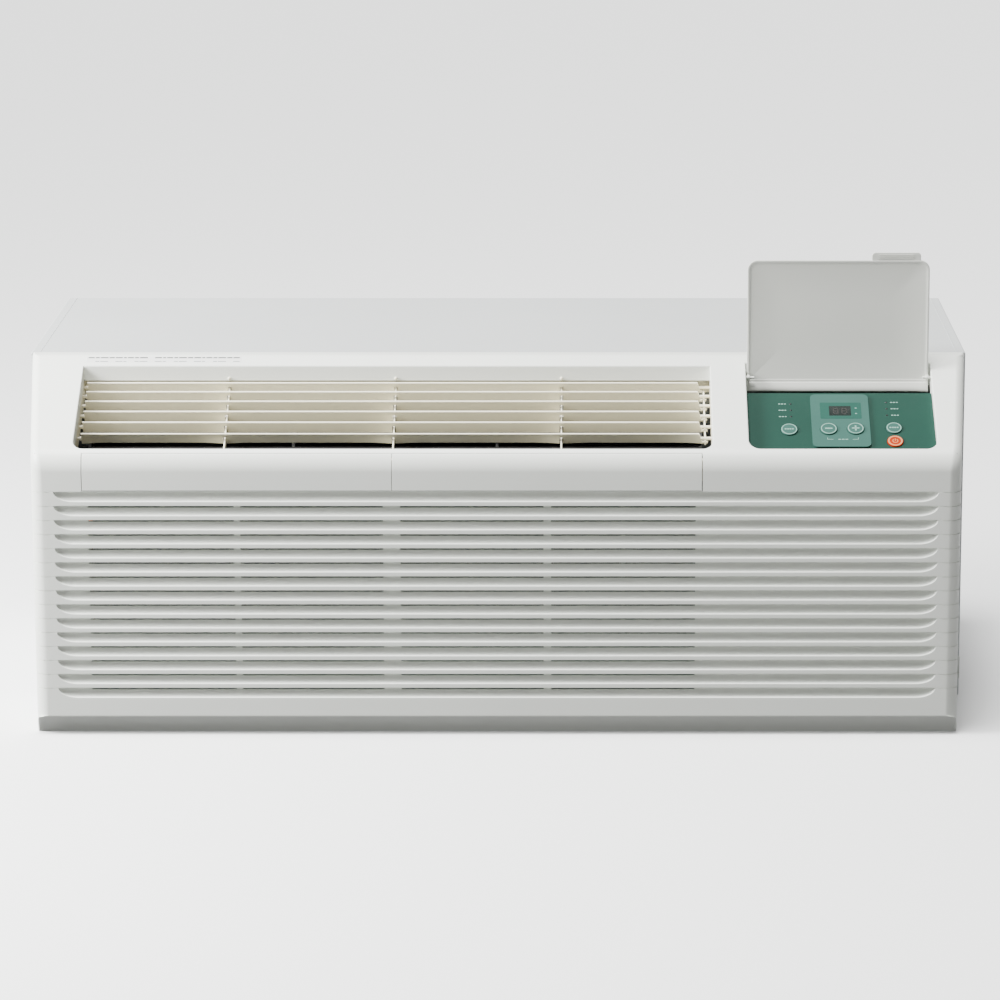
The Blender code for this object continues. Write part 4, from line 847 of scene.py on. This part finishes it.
def makeDoor():
    look = doorLook
    low, high = boxOf("control_door")
    pivot = pivotOf("control_door_hinge")
    left, right = low.x, high.x
    top = high.z - look["tabLength"]
    bottom = pivot.z - look["foot"]
    face = pivot.y + look["face"]
    edge = look["edge"]

    def loop(inset, y, foot=0.0, corner=None):
        # the door's outline, drawn in by the inset and kept clear of the foot
        radius = max(look["corner"] - inset, 0.002) if corner is None else corner
        sides, low = (left + inset, right - inset), bottom + inset + foot
        outline = filleted([(sides[0], low, 0.0012), (sides[1], low, 0.0012), (sides[1], top - inset, radius),
                            (sides[0], top - inset, radius)])
        return [(x, y, z) for x, z in outline]

    back = face + look["gauge"]
    eased = edge * 0.3
    rings = [loop(edge, back), loop(eased, back - eased), loop(0.0, back - edge), loop(0.0, face + edge),
             loop(eased, face + eased), loop(edge, face)]
    # inside its rim the face is hollowed a little, deepest in the middle
    foot = look["footBand"]
    rings.append(loop(look["rim"], face, foot))
    for share in (0.0, 0.06, 0.14, 0.24, 0.36, 0.50, 0.66, 0.82, 1.0):
        inset = look["rim"] + 0.0005 + (look["dishReach"] - look["rim"]) * share
        sunk = look["step"] + (look["dish"] - look["step"]) * (1 - (1 - share) ** 2)
        rings.append(loop(inset, face + sunk, foot, max(look["corner"] - inset * 0.3, 0.004)))
    tab = filleted([(look["tabLeft"], top - 0.002, 0.0), (look["tabRight"], top - 0.002, 0.0),
                    (look["tabRight"], high.z, 0.004), (look["tabLeft"], high.z, 0.004)])
    tab = beveled(prism(tab, "Y", face + 0.0003, back - 0.0003), 0.0006, 3)
    rib = box((look["tabLeft"] + look["gripInset"], face - 0.0001, top + 0.0022),
              (look["tabRight"] - look["gripInset"], face + 0.0006, top + 0.0030))
    grip = repeated(rib, "gripRib", look["grips"], (0.0, 0.0, look["gripPitch"]))
    # the rolled foot leans out to the front and hangs a little below the plate
    outline = [(face + 0.0006, bottom + 0.0092), (back - 0.0004, bottom + 0.0002),
               (back - 0.0006, bottom - 0.0020), (face - 0.0022, bottom - 0.0022),
               (face - 0.0032, bottom - 0.0012), (face - 0.0034, bottom + 0.0010),
               (face - 0.0026, bottom + 0.0040), (face - 0.0006, bottom + 0.0084)]
    rolledFoot = beveled(prism(outline, "X", left + 0.0002, right - 0.0002), 0.0003)
    # a bored knuckle at each end of the hinge line, with a web to the plate
    knuckles = []
    bore, wide, long, ease = look["bore"], look["knuckle"], look["knuckleLength"], 0.0003
    for start in (left, right - long):
        ring = turned([(bore, 0.0), (wide - ease, 0.0), (wide, ease), (wide, long - ease), (wide - ease, long),
                       (bore, long)], 28, closed=True)
        knuckles.append(moved(ring, Matrix.Translation((start, pivot.y, pivot.z)) @ alongX))
        knuckles.append(box((start + ease, pivot.y + 0.0020, pivot.z - wide),
                            (start + long - ease, face + 0.0008, pivot.z + wide)))
    shape = joined([ringLoft(rings), tab, rolledFoot, grip] + knuckles)
    piece("controlDoor", shape, doorAbs, "control_door", ["control_door"], 40.0)


makeDoor()
print("door ready")

# places are (across, distance forward); the keypad's own plane lies under the slope and its y runs up it
keyLook = {
    "front": 0.1515, "below": 0.010, "upperEdge": 0.0578, "plinthRise": 0.0025, "keyRise": 0.0015,
    "markHeight": 0.00012, "inkHeight": 0.00014, "textTall": 0.0013,
    "figures": (0.3804, 0.3899), "figureRow": 0.0863, "figureHalf": 0.0025,
    "strokeLong": 0.0042, "strokeUp": 0.0034, "stroke": 0.0009, "strokeHeight": 0.00008, "lampRadius": 0.0013,
}
displayBox = {"left": 0.3635, "right": 0.4084, "back": 0.0748, "front": 0.0968}
windowBox = {"left": 0.3729, "right": 0.3975, "back": 0.0793, "front": 0.0933}
plinthBox = {"left": 0.3525, "right": 0.4176, "back": 0.0619, "front": 0.1378}
# each row of marks: its place across, its lamp's place across, distances forward
lampRows = ((0.3225, 0.3302, (0.0738, 0.0830, 0.0922)), (0.4462, 0.4380, (0.0715, 0.0808, 0.0902)))
# the tie between the setting keys and the ticks within it, as (across, distance, width, height)
tieBars = ((0.3725, 0.1274, 0.0065, 0.0006), (0.4005, 0.1274, 0.0065, 0.0006),
           (0.3693, 0.1262, 0.0006, 0.0030), (0.4037, 0.1262, 0.0006, 0.0030),
           (0.3826, 0.1274, 0.0030, 0.0012), (0.3866, 0.1274, 0.0034, 0.0012),
           (0.3906, 0.1274, 0.0030, 0.0012))
# each key: place across, distance forward, radius, height of its stand
keys = {
    "button_mode": (0.3272, 0.1115, 0.0095, 0.0), "button_minus": (0.3712, 0.1130, 0.0095, 0.0025),
    "button_plus": (0.4013, 0.1126, 0.0095, 0.0025), "button_fan": (0.4445, 0.1094, 0.0090, 0.0),
    "button_power": (0.4447, 0.1284, 0.0090, 0.0),
}
# bars on a key's face, as (across, width, height); a key with no sign of its own has a row of ticks
minusBar, uprightBar = (0.0, 0.0085, 0.0018), (0.0, 0.0018, 0.0085)
keySigns = {"button_minus": (minusBar,), "button_plus": (minusBar, uprightBar)}
keyTicks = ((-0.0040, 0.0022, 0.0018), (-0.0013, 0.0020, 0.0018), (0.0013, 0.0022, 0.0018),
            (0.0040, 0.0020, 0.0018))
slopeAtKeys = Vector((0.0, forward(keyLook["front"]), slopeHeight(keyLook["front"])))
keyPlace = onSlope(slopeAtKeys - Vector((0.0, 0.0, keyLook["below"] / math.cos(coverSizes["slopeAngle"]))))


def upKey(distance):
    return (keyLook["front"] - distance) / math.cos(coverSizes["slopeAngle"])


def bar(x, y, width, tall, lift, height=keyLook["markHeight"]):
    # a thin printed mark centred on (x, y), lying at the lift
    w, t = width / 2, tall / 2
    outline = roundedRectangle(x - w, x + w, y - t, y + t, min(width, tall) * 0.3)
    return prism(outline, "Z", lift, lift + height)


def plate(sides, spread, corner, low, high):
    # a rounded plate over one of the keypad's areas, spread out on every side
    outline = roundedRectangle(sides["left"] - spread, sides["right"] + spread, upKey(sides["front"]) - spread,
                               upKey(sides["back"]) + spread, corner)
    return prism(outline, "Z", low, high)


def makeKeypad():
    look = keyLook
    rise = look["plinthRise"]
    base = moved(nodeShape("keypad_panel"), keyPlace.inverted())
    base = cut(base, box((0.25, upKey(look["upperEdge"]), -0.05), (0.52, 0.2, 0.05)))
    base = beveled(base, 0.0003, 2, 40.0)
    spare = 0.0004
    for face in base.faces:
        middle = face.calc_center_median()
        across = plinthBox["left"] - spare < middle.x < plinthBox["right"] + spare
        along = upKey(plinthBox["front"] + spare) < middle.y < upKey(plinthBox["back"] - spare)
        face.material_index = int(across and along and middle.z > 0.0001)
    border = cut(plate(displayBox, 0.0006, 0.0010, rise - 0.0001, rise + 0.00015),
                 plate(windowBox, 0.0, 0.0006, 0.0, 0.01))
    lens = plate(windowBox, 0.0002, 0.0006, rise - 0.0004, rise)
    # two unlit figures of seven strokes
    strokes = []
    middle, half, side = upKey(look["figureRow"]), look["strokeLong"] / 2, look["figureHalf"]
    flat, upright = (look["strokeLong"], look["stroke"]), (look["stroke"], look["strokeUp"])
    for x in look["figures"]:
        places = [(x, step, flat) for step in (-2, 0, 2)]
        places += [(across, step, upright) for across in (x - side, x + side) for step in (-1, 1)]
        for across, step, size in places:
            strokes.append(bar(across, middle + step * half, *size, rise, look["strokeHeight"]))
    # tiny marks beside the display, the tie, and the rows of short marks, each with its dark lamp
    marks = [bar(0.4031, upKey(distance), 0.0022, 0.0012, rise + 0.00015) for distance in (0.0823, 0.0903)]
    marks += [bar(x, upKey(distance), width, tall, rise) for x, distance, width, tall in tieBars]
    lamps = []
    for x, lampX, distances in lampRows:
        start = x + math.copysign(0.0012, x - lampX)
        for distance in distances:
            marks += [bar(start + across, upKey(distance), width, look["textTall"], 0.0)
                      for across, width in ((-0.0036, 0.0024), (-0.0004, 0.0026), (0.0028, 0.0020))]
            lamp = turned([(0.0, 0.0), (look["lampRadius"], 0.0), (0.0011, 0.0003), (0.0, 0.0004)], 18)
            lamps.append(moved(lamp, Matrix.Translation((lampX, upKey(distance), 0.0))))
    shape = joined([base, painted(border, 2), painted(joined(marks), 3), painted(joined([lens] + lamps), 4),
                    painted(joined(strokes), 5)])
    piece("keypad", moved(shape, keyPlace), [keypadFilm, plinthFilm, frameFilm, markFilm, darkMark, digitGrey],
          "chassis", ["keypad_panel"], 40.0)
    softenedCopy("display_window", displayAcrylic, 0.0002)


def powerSign(lift):
    # a short upright bar in a broken circle
    turns = [math.radians(125.0 + 290.0 * step / 14) for step in range(15)]
    outline = [(0.0033 * math.cos(a), 0.0033 * math.sin(a) - 0.0002) for a in turns]
    outline += [(0.0024 * math.cos(a), 0.0024 * math.sin(a) - 0.0002) for a in reversed(turns)]
    return [bar(0.0, 0.0016, 0.0009, 0.0040, lift, keyLook["inkHeight"]),
            prism(outline, "Z", lift, lift + keyLook["inkHeight"])]


def makeKey(name):
    # a domed cap on a flange that the keypad holds down, with a pale ring and a sign on its face
    x, distance, radius, stand = keys[name]
    power = name == "button_power"
    top = stand + keyLook["keyRise"]
    flange = radius + 0.0013
    cap = turned([(0.0, -0.0060), (flange, -0.0060), (flange, -0.0052), (radius, -0.0050),
                  (radius, top - 0.0007), (radius - 0.0002, top - 0.0003), (radius - 0.0007, top),
                  (radius * 0.6, top + 0.00005), (0.0, top + 0.0001)], 56)
    inner, outer = radius - (0.0026 if power else 0.0018), radius - 0.0008
    base, height = top - 0.00002, 0.00016
    ease = height * 0.4
    ring = turned([(inner, base), (outer, base), (outer, base + height - ease), (outer - ease, base + height),
                   (inner + ease, base + height), (inner, base + height - ease)], 48, closed=True)
    lift = top + 0.00005
    if power:
        sign = powerSign(lift)
    else:
        sign = [bar(across, 0.0, width, tall, lift, keyLook["inkHeight"])
                for across, width, tall in keySigns.get(name, keyTicks)]
    shape = joined([painted(cap, 0), painted(joined([ring] + sign), 1)])
    looks = [powerKey, paleOrange] if power else [plinthFilm, markFilm]
    piece(camel(name), moved(shape, keyPlace @ Matrix.Translation((x, upKey(distance), 0.0))), looks, name,
          [name], 40.0)


makeKeypad()
for name in keys:
    makeKey(name)
print("keypad ready")

sleeveLook = {"edge": 0.0018, "gauge": 0.002, "hem": 0.0032, "hemDepth": 0.012, "seam": 0.010,
              "seamWidth": 0.0006, "screws": 4, "screwPitch": 0.090, "screwStart": 0.040,
              "screwRows": (0.050, 0.356)}
screwLook = {"radius": 0.0042, "height": 0.0022}


def screwHead():
    # pan head with a cross recess
    radius, height = screwLook["radius"], screwLook["height"]
    head = turned([(0.0, -0.0005), (radius, -0.0005), (radius, height * 0.35), (radius * 0.86, height * 0.75),
                   (radius * 0.5, height), (0.0, height)], 24)
    for turn in (0.0, math.pi / 2):
        blade = box((-radius * 0.55, -radius * 0.13, height * 0.35), (radius * 0.55, radius * 0.13, height * 2))
        head = cut(head, moved(blade, Matrix.Rotation(turn, 4, "Z")))
    return head


def makeSleeve():
    look = sleeveLook
    low, high = sleeveLow, sleeveHigh

    def loop(inset, y, radius):
        outline = roundedRectangle(low.x + inset, high.x - inset, low.z + inset, high.z - inset, radius)
        return [(x, y, z) for x, z in outline]

    g, hem = look["gauge"], look["hem"]
    r = look["edge"]
    inner = r * 0.4
    ease, hemEnd = 0.0004, high.y - look["hemDepth"]
    rings = [loop(g, low.y, inner), loop(ease, low.y, r), loop(0.0, low.y + ease, r),
             loop(0.0, high.y - ease, r), loop(ease, high.y, r), loop(hem - 0.0003, high.y, inner),
             loop(hem, high.y - 0.0003, inner), loop(hem, hemEnd, inner), loop(g, hemEnd - 0.0005, inner),
             loop(g, low.y, inner)]
    bm = closedUp(ringLoft(rings, False))
    # a lap seam along each top corner
    seams = []
    for side in (-1, 1):
        xs = sorted(side * (high.x - reach) for reach in (look["seam"], look["seam"] + look["seamWidth"]))
        seam = box((xs[0], low.y + 0.002, high.z - 0.0004), (xs[1], high.y - 0.002, high.z + 0.00025))
        seams.append(beveled(seam, 0.0001, 1))
    screws = []
    for side in (-1, 1):
        turn = Matrix.Rotation(side * math.pi / 2, 4, "Y")
        for z in look["screwRows"]:
            screw = moved(screwHead(), turn)
            row = repeated(screw, "sleeveScrew", look["screws"], (0.0, look["screwPitch"], 0.0))
            place = (side * (high.x + 0.0001), low.y + look["screwStart"], z)
            screws.append(moved(row, Matrix.Translation(place)))
    piece("wallSleeve", joined([bm] + seams), sleevePaint, "chassis", ["wall_sleeve"], 30.0)
    piece("sleeveScrews", joined(screws), brightSteel, "chassis")


makeSleeve()
print("sleeve ready")

labelLook = {"left": -0.4655, "right": -0.2935, "upper": 0.0200, "lower": 0.0256, "gap": (-0.3972, -0.3895),
             "ticks": (0.0070, 0.0045, 0.0090, 0.0060, 0.0080, 0.0035), "space": 0.0011, "thickness": 0.00006}


def makeLabel():
    # a thin clear strip with two rows of plain ticks, in place of the small print
    look = labelLook
    upper, lower = upKey(look["upper"]), upKey(look["lower"])
    outline = roundedRectangle(look["left"] - 0.002, look["right"] + 0.002, lower - 0.0016, upper + 0.0020,
                               0.001)
    marks = [painted(prism(outline, "Z", -0.0001, look["thickness"]), 0)]
    x = look["left"]
    step = 0
    while x < look["right"] - 0.004:
        length = min(look["ticks"][step % len(look["ticks"])], look["right"] - x)
        if not look["gap"][0] < x + length / 2 < look["gap"][1]:
            marks.append(painted(box((x, upper - 0.0009, 0.0), (x + length, upper + 0.0009, 0.00014)), 1))
        if step % 3:
            marks.append(painted(box((x, lower - 0.0006, 0.0), (x + length, lower + 0.0006, 0.00012)), 2))
        x += length + look["space"]
        step += 1
    shape = moved(joined(marks), onSlope(slopeAtKeys))
    piece("noticeStrip", shape, [labelFilm, labelDark, labelPale], "chassis")


makeLabel()

coilLook = {"indoorPitch": 0.0024, "outdoorPitch": 0.0028, "fin": 0.0004, "finInset": (0.0015, 0.003),
            "endPlate": 0.0022, "tube": 0.0048, "tubeLength": 0.015, "tubeRows": 8}


def makeCoil(node, pitch):
    # end plates, thin fins set out between them, and a row of tube ends standing out of both plates
    look = coilLook
    low, high = boxOf(node)
    gauge, (insetY, insetZ) = look["endPlate"], look["finInset"]
    parts = []
    for x in (low.x, high.x - gauge):
        parts.append(beveled(box((x, low.y, low.z), (x + gauge, high.y, high.z)), 0.0003, 1))
    first = low.x + gauge
    fin = box((first, low.y + insetY, low.z + insetZ), (first + look["fin"], high.y - insetY, high.z - insetZ))
    fins = repeated(fin, "coilFin", int((high.x - low.x - 2 * gauge) / pitch), (pitch, 0.0, 0.0))
    radius, length = look["tube"], look["tubeLength"]
    rowPitch = (high.z - low.z) / look["tubeRows"]
    tubes = []
    for x in (low.x - 0.003, high.x - length + 0.003):
        tube = turned([(0.0, 0.0), (radius, 0.0), (radius, length), (0.0, length)], 14)
        place = Matrix.Translation((x, (low.y + high.y) / 2, low.z + rowPitch / 2)) @ alongX
        tubes.append(repeated(moved(tube, place), "coilTube", look["tubeRows"], (0.0, 0.0, rowPitch)))
    piece(camel(node), joined(parts + [fins]), finAlloy, "chassis", [node], 0.0)
    piece(camel(node) + "Tubes", joined(tubes), drawnCopper, "chassis")


makeCoil("evaporator_coil", coilLook["indoorPitch"])
makeCoil("condenser_coil", coilLook["outdoorPitch"])
print("coils ready")

grilleLook = {"columns": 4, "rows": 15, "border": 0.022, "open": 0.55, "hood": 0.0042, "gauge": 0.0012,
              "screwEdge": (0.010, 0.011)}


def makeRearGrille():
    # the stamped plate with a small hood pressed out over each slot
    look = grilleLook
    low, high = boxOf("rear_grille")
    base = beveled(nodeShape("rear_grille"), 0.0004, 1, 40.0)
    columnWidth = (high.x - low.x - look["border"]) / look["columns"]
    rowHeight = (high.z - low.z - look["border"]) / look["rows"]
    hoods = []
    for column in range(look["columns"]):
        left = low.x + look["border"] + column * columnWidth + 0.0006
        right = left + columnWidth - look["border"] - 0.0012
        bottom = low.z + look["border"]
        top = bottom + rowHeight * look["open"]
        back, deep = high.y - look["gauge"], look["hood"]
        outline = [(back, top + 0.0006), (back + deep * 0.3, top - 0.0002), (back + deep, top - 0.0042),
                   (back + deep - 0.0005, top - 0.0050), (back + deep * 0.2, top - 0.0014),
                   (back - 0.0006, top - 0.0007)]
        hood = prism(outline, "X", left, right)
        hoods.append(repeated(hood, "grilleHood", look["rows"], (0.0, 0.0, rowHeight)))
    shape = joined([base] + hoods)
    piece("rearGrille", shape, grilleAlloy, "chassis", ["rear_grille"], 30.0)
    # three screws up each end and up the middle
    screws = []
    edgeX, edgeZ = look["screwEdge"]
    for x in (low.x + edgeX, (low.x + high.x) / 2, high.x - edgeX):
        screw = moved(screwHead(), Matrix.Rotation(-math.pi / 2, 4, "X"))
        row = repeated(screw, "grilleScrew", 3, (0.0, 0.0, (high.z - low.z) / 2 - edgeZ))
        screws.append(moved(row, Matrix.Translation((x, high.y, low.z + edgeZ))))
    piece("grilleScrews", joined(screws), brightSteel, "chassis")


makeRearGrille()
print("rear grille ready")

# the inner parts keep their CAD shape with eased edges, in the finish that each is made in
innerFinishes = (
    (zincSheet, ("base_pan", "bulkhead", "vent_door", "fan_shroud", "motor_bracket", "control_box")),
    (blackEnamel, ("compressor", "accumulator", "fan_motor", "blower_motor", "blower_bearing", "transformer")),
    (brightSteel, ("run_capacitor",)),
    (fanPlastic, ("condenser_fan", "blower_wheel")),
    (foamPlastic, ("blower_scroll", "condensate_tray")),
    (boardLacquer, ("control_board",)),
    (drawnCopper, ("suction_pipe", "discharge_pipe", "liquid_pipe")),
    (heaterSteel, ("heater_element",)),
    (doorAbs, ("hinge_pin_left", "hinge_pin_right")),
    (paleRubber, ("cord_gland",)),
    (softRubber, ("compressor_grommet_1", "compressor_grommet_2", "compressor_grommet_3")),
)
for material, nodes in innerFinishes:
    for node in nodes:
        softenedCopy(node, material, 0.0003)
print("inner parts ready")

studio = {
    "floor": "#F6F7F6", "floorSize": 30.0, "world": 0.24,
    "sun": 7.0, "sunSpread": 26.0, "sunHigh": 79.0, "sunSide": -52.0,
    "softbox": 225.0, "softboxSize": 1.0, "softboxPlace": (-2.2, -0.62, 1.30),
    "softboxAim": (-0.4, -0.2, 0.30),
    "sensor": 36.0, "focalSensors": 4.0276, "lensShift": (-0.0766, -0.0646), "cameraDown": 12.17,
    "cameraPlace": (0.0894, 4.5161, 1.2828),   # across, in front of the sleeve, height
}


def makeStage():
    bm = bmesh.new()
    bmesh.ops.create_grid(bm, x_segments=1, y_segments=1, size=studio["floorSize"])
    floor = meshObject("floor", bm)
    material, _, shader, _ = newMaterial("studioFloor")
    shader.inputs["Base Color"].default_value = linear(studio["floor"])
    shader.inputs["Roughness"].default_value = 0.9
    floor.data.materials.append(material)
    # the floor shows but throws no light back up, as if flagged off below the front
    floor.visible_diffuse = False
    world = bpy.data.worlds.new("studio")
    bpy.context.scene.world = world
    world.use_nodes = True
    background = world.node_tree.nodes["Background"]
    background.inputs["Color"].default_value = (1.0, 1.0, 1.0, 1.0)
    background.inputs["Strength"].default_value = studio["world"]


def makeLights():
    # a broad overhead light, leaning to the left and front, and a softbox nearer the left end
    sun = bpy.data.lights.new("overhead", "SUN")
    sun.energy = studio["sun"]
    sun.angle = math.radians(studio["sunSpread"])
    lamp = inScene("overhead", sun)
    lamp.rotation_euler = (math.radians(90.0 - studio["sunHigh"]), 0.0, math.radians(studio["sunSide"]))
    softbox = bpy.data.lights.new("softbox", "AREA")
    softbox.size = studio["softboxSize"]
    softbox.energy = studio["softbox"]
    lamp = inScene("softbox", softbox)
    lamp.location = studio["softboxPlace"]
    aim = Vector(studio["softboxAim"]) - Vector(studio["softboxPlace"])
    lamp.rotation_euler = aim.to_track_quat("-Z", "Y").to_euler()


def makeCamera():
    data = bpy.data.cameras.new("camera")
    data.sensor_width = studio["sensor"]
    data.lens = studio["sensor"] * studio["focalSensors"]
    data.shift_x, data.shift_y = studio["lensShift"]
    data.clip_end = 200.0
    camera = inScene("camera", data)
    across, away, height = studio["cameraPlace"]
    camera.location = (across, forward(away), height)
    camera.rotation_euler = (math.radians(90.0 - studio["cameraDown"]), 0.0, 0.0)
    bpy.context.scene.camera = camera


makeStage()
makeLights()
makeCamera()

bpy.data.materials.remove(workMaterial)
